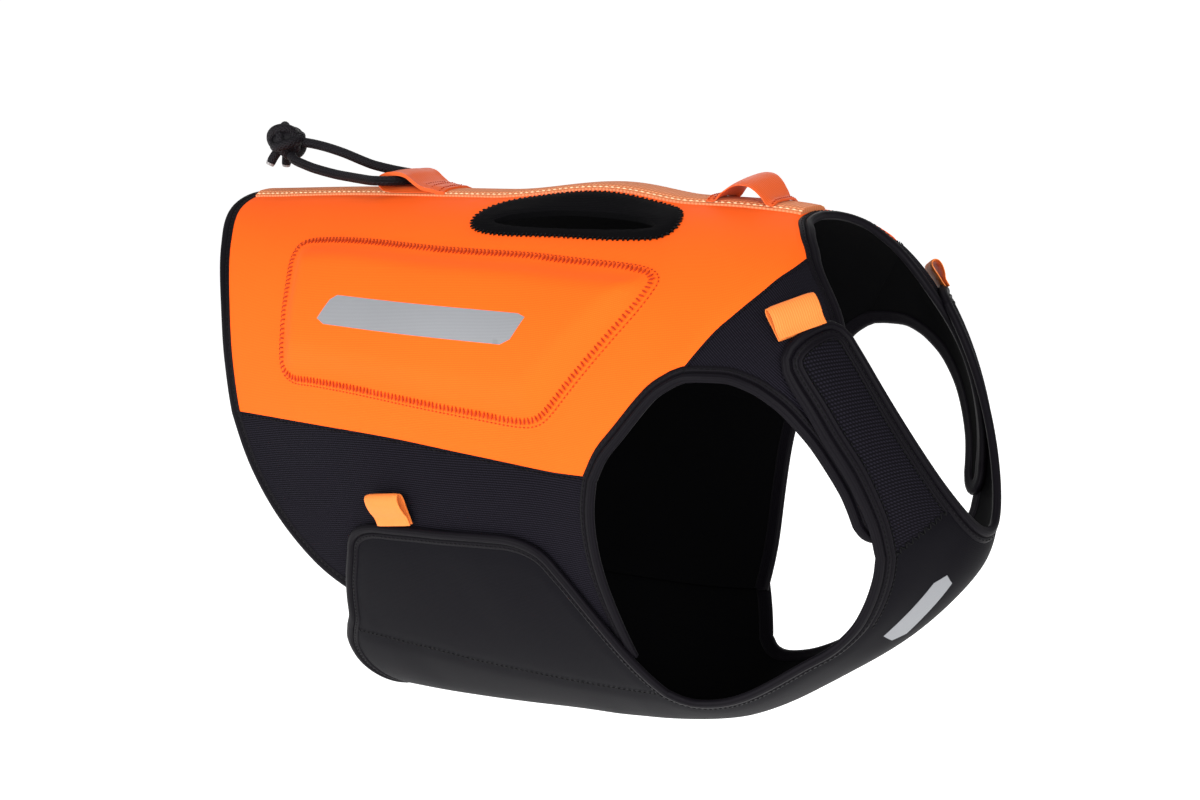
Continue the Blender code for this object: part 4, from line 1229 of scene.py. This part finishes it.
def cord_sections(path, radius, count=16):
    """Round sections along a path, without twist."""
    along = np.gradient(path, axis=0)
    along /= np.linalg.norm(along, axis=1, keepdims=True)
    side = np.cross(along[0], (0.0, 0.0, 1.0))
    side /= np.linalg.norm(side)
    turn = np.linspace(0, math.tau, count, endpoint=False)
    sections = []
    for p, d, r in zip(path, along, np.broadcast_to(radius, len(path))):
        side = side - d * side.dot(d)
        side /= np.linalg.norm(side)
        other = np.cross(d, side)
        sections.append(p + r * (np.cos(turn)[:, None] * side + np.sin(turn)[:, None] * other))
    return sections


def cord_map(path, count=16):
    """Map places of a cord's sections: distance along it and round it, in metres."""
    around = np.linspace(0, math.pi * CORD, count, endpoint=False)
    both = np.broadcast_arrays(reach_along(path)[:, None], around[None, :])
    return np.stack(both, -1).reshape(-1, 2) * MM


def knot_wraps(lean):
    """Middle line of the knot's wraps, one closed path round its centre."""
    turn = np.linspace(0, KNOT_TURNS * math.tau, 250, endpoint=False)
    wave = KNOT_WAVES / KNOT_TURNS * turn + KNOT_PHASE
    climb = math.radians(KNOT_CLIMB) * np.sin(wave)
    reach = KNOT_REACH + KNOT_WEAVE * np.cos(wave)
    wraps = np.stack([reach * np.cos(climb) * np.cos(turn), reach * np.cos(climb) * np.sin(turn),
                      reach * np.sin(climb)], -1)
    return np.array(KNOT_CENTRE) + wraps @ lean.T


def knot_core(lean):
    """Rings of the egg-shaped core that fills the knot between its wraps."""
    around = np.linspace(0, math.tau, 20, endpoint=False)
    rings = []
    for down in np.linspace(0.05, math.pi - 0.05, 15):
        circle = np.stack([math.sin(down) * np.cos(around), math.sin(down) * np.sin(around),
                           np.full(len(around), math.cos(down))], -1)
        rings.append(np.array(KNOT_CENTRE) + (circle * KNOT_CORE) @ lean.T)
    return rings


class VEST_OT_cord(bpy.types.Operator):
    """Braided pull cord through the rear loop, its knot and its two cut ends"""
    bl_idname = "vest.cord"
    bl_label = "Pull cord and knot"

    def execute(self, context):
        radius = sizes().cord_width / MM / 2
        path = spline(CORD_ROUTE, np.linspace(0, len(CORD_ROUTE) - 1, 160))
        cord = tube("rear_cord_braid", cord_sections(path, radius), [braided_cord()], uv=cord_map(path))
        dress(cord, "black_cord", "rear_cord")
        lean = np.array(Matrix.Rotation(math.radians(KNOT_LEAN), 3, Vector(KNOT_LEAN_AXIS)))
        wraps, core = knot_wraps(lean), knot_core(lean)
        sections = cord_sections(np.vstack([wraps, wraps[:1]]), KNOT_STRAND, 14)[:-1]
        knot = tube("cord_knot_wraps", sections, [braided_cord()], closed=True, uv=cord_map(wraps, 14))
        heart = tube("cord_knot_heart", core, [braided_cord()], uv=np.zeros((len(core) * len(core[0]), 2)))
        dress(knot, "black_cord", "cord_knot")
        dress(heart, "black_cord")
        for name, (direction, bend) in TAILS.items():
            way = np.array(direction) / np.linalg.norm(direction)
            base = np.array(KNOT_CENTRE) + way * (KNOT / 2 - TAIL_ROOT)
            reach = np.linspace(0, TAIL_LENGTH, len(TAIL_SHAPE))[:, None]
            line = base + way * reach + np.array(bend) * (reach / TAIL_LENGTH) ** 2
            end = tube(name + "_braid", cord_sections(line, radius * np.array(TAIL_SHAPE)),
                       [braided_cord(), cut_end()], uv=cord_map(line), sharp=50.0)
            for face in end.data.polygons:
                middle = np.array(face.center) / MM
                face.material_index = int((middle - base) @ way > TAIL_SEALED)
            dress(end, "black_cord", name)
        return {"FINISHED"}


class VEST_OT_saddle(bpy.types.Operator):
    """Orange back, ribbed black flanks and shoulder tongues, sewn edge to edge"""
    bl_idname = "vest.saddle"
    bl_label = "Back, flanks and tongues"

    def execute(self, context):
        cuts = cut_edges()
        back = chain(cuts["spine"], cuts["back_neck"], cuts["tongue_seam"], cuts["back_leg"],
                     cuts["flank_seam"], cuts["back_hem"])[:-1]
        flank = chain(cuts["flank_seam"], cuts["flank_hem"], cuts["flank_low"], cuts["flank_front"])[:-1]
        tongue = chain(cuts["tongue_seam"], cuts["tongue_leg"], cuts["tongue_tip"],
                       cuts["tongue_neck"])[:-1]
        opening = ring(TRIM_OUTER, sizes().mesh_step / MM)

        def make(side, turn):
            for name, outline, holes, face, slot in (
                    ("back_panel_", back, [opening], orange_neoprene(), "orange_neoprene"),
                    ("flank_panel_", flank, [], flank_loop_cloth(), "black_loop_cloth"),
                    ("shoulder_tongue_", tongue, [], tongue_loop_cloth(), "black_loop_cloth")):
                obj, uv, faces = cloth_panel(name + side + "_cloth", turn(outline), -CLOTH, 0.0, face,
                                             lining(), holes=[turn(hole) for hole in holes])
                dress(obj, slot, name + side)

        both_sides(make)
        return {"FINISHED"}


class VEST_OT_handle(bpy.types.Operator):
    """Black knit ovals sewn round the two openings of the handle"""
    bl_idname = "vest.handle"
    bl_label = "Handle trim"

    def execute(self, context):
        outer, inner = ring(TRIM_OUTER, TRIM_STEP), ring(HANDLE_HOLE, TRIM_STEP)

        def rolled(places, gaps):
            """The trim rises in a soft roll and falls again at the opening."""
            fall = TRIM_FALL * smooth((TRIM_FALL_REACH - gaps[1]) / TRIM_FALL_REACH)
            return TRIM_EDGE + TRIM_ROLL * smooth(gaps[0] / TRIM_RISE) * (1 - fall)

        def make(side, turn):
            obj = cloth_panel("handle_trim_" + side + "_knit", turn(outer), -CLOTH, rolled, sewn_knit(),
                              lining(), holes=[turn(inner)], step=TRIM_STEP, dip=0.0)[0]
            dress(obj, "black_binding", "handle_trim_" + side)

        both_sides(make)
        return {"FINISHED"}


class VEST_OT_pads(bpy.types.Operator):
    """Foam pads on the back: a flat sewn margin and a soft dome"""
    bl_idname = "vest.pads"
    bl_label = "Foam pads"

    def execute(self, context):
        outline = ring(PAD, sizes().mesh_step / MM)

        def make(side, turn):
            obj = cloth_panel("float_pad_" + side + "_cloth", turn(outline), -PAD_SUNK, pad_height,
                              orange_neoprene(), orange_neoprene(), dip=0.0)[0]
            dress(obj, "orange_neoprene", "float_pad_" + side)

        both_sides(make)
        return {"FINISHED"}


class VEST_OT_harness(bpy.types.Operator):
    """Belly flaps, belly and chest piece, and loop-faced straps"""
    bl_idname = "vest.harness"
    bl_label = "Flaps, belly, chest and straps"

    def execute(self, context):
        cuts = cut_edges()
        low, high = LAY_GAP, LAY_GAP + CLOTH
        half = chain(cuts["belly_rear"][::-1], cuts["belly_seam"], cuts["belly_leg"], cuts["strap_seam"],
                     cuts["chest_neck"])
        whole = np.vstack([half[:-1], other_side(half)[::-1][:-1]])
        obj, uv, faces = cloth_panel("chest_and_belly_cloth", whole, low, high, black_neoprene(), lining(),
                                     step=4.0)
        dress(obj, "black_neoprene", "chest_and_belly")
        flap = chain(cuts["flap_top"], cuts["belly_seam"])[:-1]
        strap = chain(cuts["strap_top"], cuts["strap_neck"], cuts["strap_seam"])[:-1]

        def make(side, turn):
            for name, outline, face, slot in (
                    ("belly_flap_", flap, black_neoprene(), "black_neoprene"),
                    ("chest_strap_", strap, strap_loop_cloth(), "black_loop_cloth")):
                obj, uv, faces = cloth_panel(name + side + "_cloth", turn(outline), low, high, face,
                                             lining())
                dress(obj, slot, name + side)

        both_sides(make)
        return {"FINISHED"}


class VEST_OT_tapes(bpy.types.Operator):
    """Black stretch tape folded over every free edge"""
    bl_idname = "vest.tapes"
    bl_label = "Edge tape"

    def execute(self, context):
        cuts = cut_edges()
        hem = chain(cuts["flank_hem"], cuts["back_hem"])
        leg = chain(cuts["flank_front"][::-1], cuts["back_leg"], cuts["tongue_leg"])
        neck = chain(cuts["tongue_tip"], cuts["tongue_neck"], cuts["back_neck"])
        edge_tapes([("hem_binding", chain(hem, mirrored(hem)[::-1]))], -CLOTH, -1)
        edge_tapes([("leg_binding_left", leg), ("neck_binding", chain(neck, mirrored(neck)[::-1])),
                    ("leg_binding_right", mirrored(leg)[::-1])], -CLOTH, 1)
        rear, flap = cuts["belly_rear"], cuts["flap_top"]
        leg_edge = chain(cuts["belly_leg"], cuts["strap_top"])
        chest = chain(cuts["strap_neck"], cuts["chest_neck"])
        edge_tapes([("flap_binding_left", flap), ("strap_binding_left", leg_edge),
                    ("chest_neck_binding", chain(chest, other_side(chest)[::-1])),
                    ("strap_binding_right", other_side(leg_edge)[::-1]),
                    ("flap_binding_right", other_side(flap)[::-1]),
                    ("belly_hem_binding", chain(other_side(rear), rear[::-1]))],
                   LAY_GAP, -1, closed=True)
        ridge = strap_ridge(cuts)
        strap_facing("strap_facing_left", ridge, -1)
        strap_facing("strap_facing_right", mirrored(ridge), 1)
        return {"FINISHED"}


class VEST_OT_webbing(bpy.types.Operator):
    """Webbing along the spine and the two loops sewn on it"""
    bl_idname = "vest.webbing"
    bl_label = "Spine webbing and loops"

    def execute(self, context):
        across = np.linspace(-0.5, 0.5, 17) * WEBBING_WIDTH
        spine = run(SPINE_TAPE, 4.0)
        reach = reach_along(form(spine[:, 0], spine[:, 1]))
        top = webbing_top(across)
        sections = [np.vstack([tape_bed(t, across, -SPINE_TAPE_SUNK), tape_bed(t, across, top)[::-1]])
                    for t in spine[:, 0]]
        tape = tube("spine_webbing_tape", sections, [spine_tape()], uv=section_map(reach, across),
                    sharp=60.0)
        dress(tape, "orange_webbing", "spine_webbing")
        for name, rows, tilt in (("leash_loop", LEASH_LOOP, LEASH_TILT),
                                 ("rear_loop", REAR_LOOP_SEWN, 0.0)):
            middle = spline(rows, np.arange(0, len(rows) - 1 + 1e-6, 0.2))
            along = np.gradient(middle, axis=0)
            along /= np.linalg.norm(along, axis=1, keepdims=True)
            side = np.stack([-along[:, 1], along[:, 0]], -1) * LOOP_TAPE / 2
            sections = []
            for (x, h), (dx, dh) in zip(middle, side):
                lean = tilt * (h - rows[0][1]) * across / across[-1] + LAY_GAP + WEBBING + h
                pressed = LAY_GAP + WEBBING - webbing_top(across)
                lean = lean - pressed * smooth((LOOP_FREE - h) / LOOP_FREE_FADE)
                sections.append(tape_section(station_at(x - dx), lean - dh,
                                             station_at(x + dx), lean + dh, across))
            loop = tube(name + "_tape", sections, [loop_tape()],
                        uv=section_map(reach_along(middle), across), sharp=60.0)
            dress(loop, "orange_webbing", name)
        return {"FINISHED"}


def tab_frame(t, a, twist):
    """Root, direction along the tab, direction across it and outward vector."""
    hand = 1 if a > 0 else -1
    base, n = form(t, a), outward(t, a)
    up = form(t, a - 2 * hand) - base
    up -= n * up.dot(n)
    up /= np.linalg.norm(up)
    wide = np.cross(n, up)
    angle = math.radians(twist) * hand
    return (base, up * math.cos(angle) + wide * math.sin(angle),
            wide * math.cos(angle) - up * math.sin(angle), n)


class VEST_OT_tabs(bpy.types.Operator):
    """Orange pull tabs: short folded loops of webbing"""
    bl_idname = "vest.tabs"
    bl_label = "Pull tabs"

    def execute(self, context):
        across = np.linspace(-0.5, 0.5, 11) * WEBBING_WIDTH
        edge = selvedge(across, TAB_TAPE)
        middle = spline(TAB_FOLD, np.arange(0, len(TAB_FOLD) - 1 + 1e-6, 0.25))
        along = np.gradient(middle, axis=0)
        along /= np.linalg.norm(along, axis=1, keepdims=True)
        normal = np.stack([along[:, 1], -along[:, 0]], -1)
        for name, (t, a, twist, share) in TABS.items():
            for side, hand in (("left", 1), ("right", -1)):
                base, up, wide, n = tab_frame(t, a * hand, twist)
                sections = []
                for (u, h), (du, dh) in zip(middle, normal):
                    rows = []
                    for sign, order in ((-1, 1), (1, -1)):
                        for w, soft in list(zip(across, edge))[::order]:
                            off = sign * (TAB_TAPE / 2 - soft)
                            rows.append(base + wide * w + up * (u * share + du * off)
                                        + n * (LAY_GAP + h + dh * off))
                    sections.append(np.array(rows))
                obj = tube(name + "_" + side + "_tape", sections, [tab_tape()],
                           uv=section_map(reach_along(middle), across), sharp=60.0)
                dress(obj, "orange_webbing", name + "_" + side)
        return {"FINISHED"}


class VEST_OT_stitches(bpy.types.Operator):
    """Rows of stitches on the webbing, pads, handle trim, tapes and seams"""
    bl_idname = "vest.stitches"
    bl_label = "Stitches"

    def execute(self, context):
        pitch, thick = sizes().stitch_pitch / MM, sizes().thread_width / MM
        pale = thread("pale polyester thread", colours().pale_thread)
        red = thread("red orange polyester thread", colours().red_thread)
        black = thread("black polyester thread", colours().black_thread)
        cuts = cut_edges()
        over = LAY_GAP + CLOTH

        x = np.linspace(*SPINE_ROW_ENDS, 200)
        rows = []
        for y in (-SPINE_ROW, SPINE_ROW):
            height = np.full(len(x), webbing_top(y) + SPINE_ROW_LIFT)
            rows.append(strip_row(x, np.full(len(x), y), height))
        stitches("spine_webbing_stitches", rows, pale, "orange_webbing", pitch, SPINE_STITCH, thick)

        y = np.linspace(-SPINE_ROW, SPINE_ROW, 23)
        rows = [strip_row(np.full(len(y), x0), y, webbing_top(y) + h) for x0, h in LOOP_ROWS]
        stitches("loop_stitches", rows, red, "orange_webbing", *LOOP_STITCH)

        pad, trim = ring(PAD, PAD_ROW_STEP), ring(TRIM_OUTER, TRIM_STEP)
        ladders, dots, overlocks, edges, seams, zigzags = [], [], [], [], [], []
        for hand in (1, -1):
            mirror = np.array([1.0, hand])
            ladders.append(sewn_row(pad * mirror, hand, LADDER_ROW, PAD_FLAT, closed=True))
            dots.append(sewn_row(pad * mirror, hand, DOT_ROW, closed=True))
            overlocks.append(sewn_row(trim * mirror, hand, OVERLOCK_ROW, closed=True))
            for path, side, base in (
                    (chain(cuts["flank_hem"], cuts["back_hem"]), -1, 0.0),
                    (chain(cuts["flank_front"][::-1], cuts["back_leg"], cuts["tongue_leg"]), 1, 0.0),
                    (chain(cuts["tongue_neck"][::-1], cuts["back_neck"]), 1, 0.0),
                    (cuts["flap_top"], -1, over),
                    (cuts["belly_leg"][:-FACING_LAP], -1, over),
                    (cuts["chest_neck"], -1, over),
                    (cuts["belly_rear"], 1, over)):
                edges.append(sewn_row(path * mirror, side * hand, TAPE_ROW, base))
            ridge = strap_ridge(cuts) * mirror
            edges += [sewn_row(ridge, -hand, row, over) for row in (TAPE_ROW, RIDGE_ROW)]
            for seam, row, base in (("flank_seam", SEAM_ROW, 0.0), ("tongue_seam", SEAM_ROW, 0.0),
                                    ("belly_seam", BELLY_ROW, over)):
                seams.append(sewn_row(cuts[seam] * mirror, hand, row, base))
            zigzags.append(sewn_row(cuts["strap_seam"] * mirror, hand, ZIGZAG_ROW, over))
        stitches("pad_ladder_stitches", ladders, red, "orange_neoprene", *PAD_LADDER)
        stitches("pad_edge_stitches", dots, red, "orange_neoprene", *PAD_DOT)
        stitches("handle_overlock_stitches", overlocks, black, "black_binding", *OVERLOCK)
        stitches("edge_tape_stitches", edges, black, "black_binding", *TAPE_STITCH)
        stitches("seam_stitches", seams, black, "black_binding", *SEAM_STITCH)
        stitches("strap_seam_stitches", zigzags, black, "black_loop_cloth", *STRAP_ZIGZAG)
        return {"FINISHED"}


def straight_ring(corners, step=2.5):
    """Evenly spaced places along the straight sides between the corners."""
    places = []
    for here, there in zip(corners, np.roll(corners, -1, axis=0)):
        reach = np.linalg.norm(flat(np.array([there])) - flat(np.array([here])))
        count = max(1, round(reach / step))
        places += [here + (there - here) * k / count for k in range(count)]
    return np.array(places)


def print_film(name, corners, height):
    """A thin printed shape that follows the face of the cloth, whose height is a function of the place."""
    return cloth_panel(name, straight_ring(corners), lambda places, gaps: height(places) - PRINT_SUNK,
                       lambda places, gaps: height(places) + PRINT_RAISED, reflective_print(),
                       reflective_print(), step=3.0, dip=0.0)[0]


class VEST_OT_prints(bpy.types.Operator):
    """Plain silver-grey reflective shapes on the pads and the chest"""
    bl_idname = "vest.prints"
    bl_label = "Reflective shapes"

    def execute(self, context):
        pad = flat(ring(PAD, 3.0))

        def pad_face(places):
            """Height of the pads' faces."""
            return pad_height(places, [edge_distances(pad, flat(np.abs(places)))])

        def chest_face(places):
            """Height of the chest's face."""
            return np.full(len(places), LAY_GAP + CLOTH)

        for side, hand in (("right", 1), ("left", -1)):
            corners = np.array(PAD_PRINT) * np.array([1.0, hand])
            dress(print_film("pad_reflective_" + side, corners, pad_face), "orange_neoprene")
        dress(print_film("chest_reflective", np.array(CHEST_PRINT), chest_face), "black_neoprene")
        return {"FINISHED"}


class VEST_PT_panel(bpy.types.Panel):
    """Sidebar panel that lists the steps, sizes and colours"""
    bl_idname = "VEST_PT_panel"
    bl_label = "Dog neoprene vest"
    bl_space_type = "VIEW_3D"
    bl_region_type = "UI"
    bl_category = "Vest"

    def draw(self, context):
        column = self.layout.column(align=True)
        for step in STEPS:
            column.operator(step.bl_idname)
        for group in (context.scene.vest_sizes, context.scene.vest_colours):
            box = self.layout.box()
            for name in group.__annotations__:
                box.prop(group, name)


STEPS = (VEST_OT_stage, VEST_OT_cord, VEST_OT_saddle, VEST_OT_handle, VEST_OT_pads, VEST_OT_harness,
         VEST_OT_tapes, VEST_OT_webbing, VEST_OT_tabs, VEST_OT_stitches, VEST_OT_prints)
CLASSES = (VestSizes, VestColours, *STEPS, VEST_PT_panel)


def register():
    for cls in CLASSES:
        bpy.utils.register_class(cls)
    bpy.types.Scene.vest_sizes = PointerProperty(type=VestSizes)
    bpy.types.Scene.vest_colours = PointerProperty(type=VestColours)


def unregister():
    del bpy.types.Scene.vest_colours
    del bpy.types.Scene.vest_sizes
    for cls in reversed(CLASSES):
        bpy.utils.unregister_class(cls)


def main():
    """Build the whole vest."""
    register()
    for step in STEPS:
        getattr(bpy.ops.vest, step.bl_idname.removeprefix("vest."))()


if __name__ == "__main__":
    main()
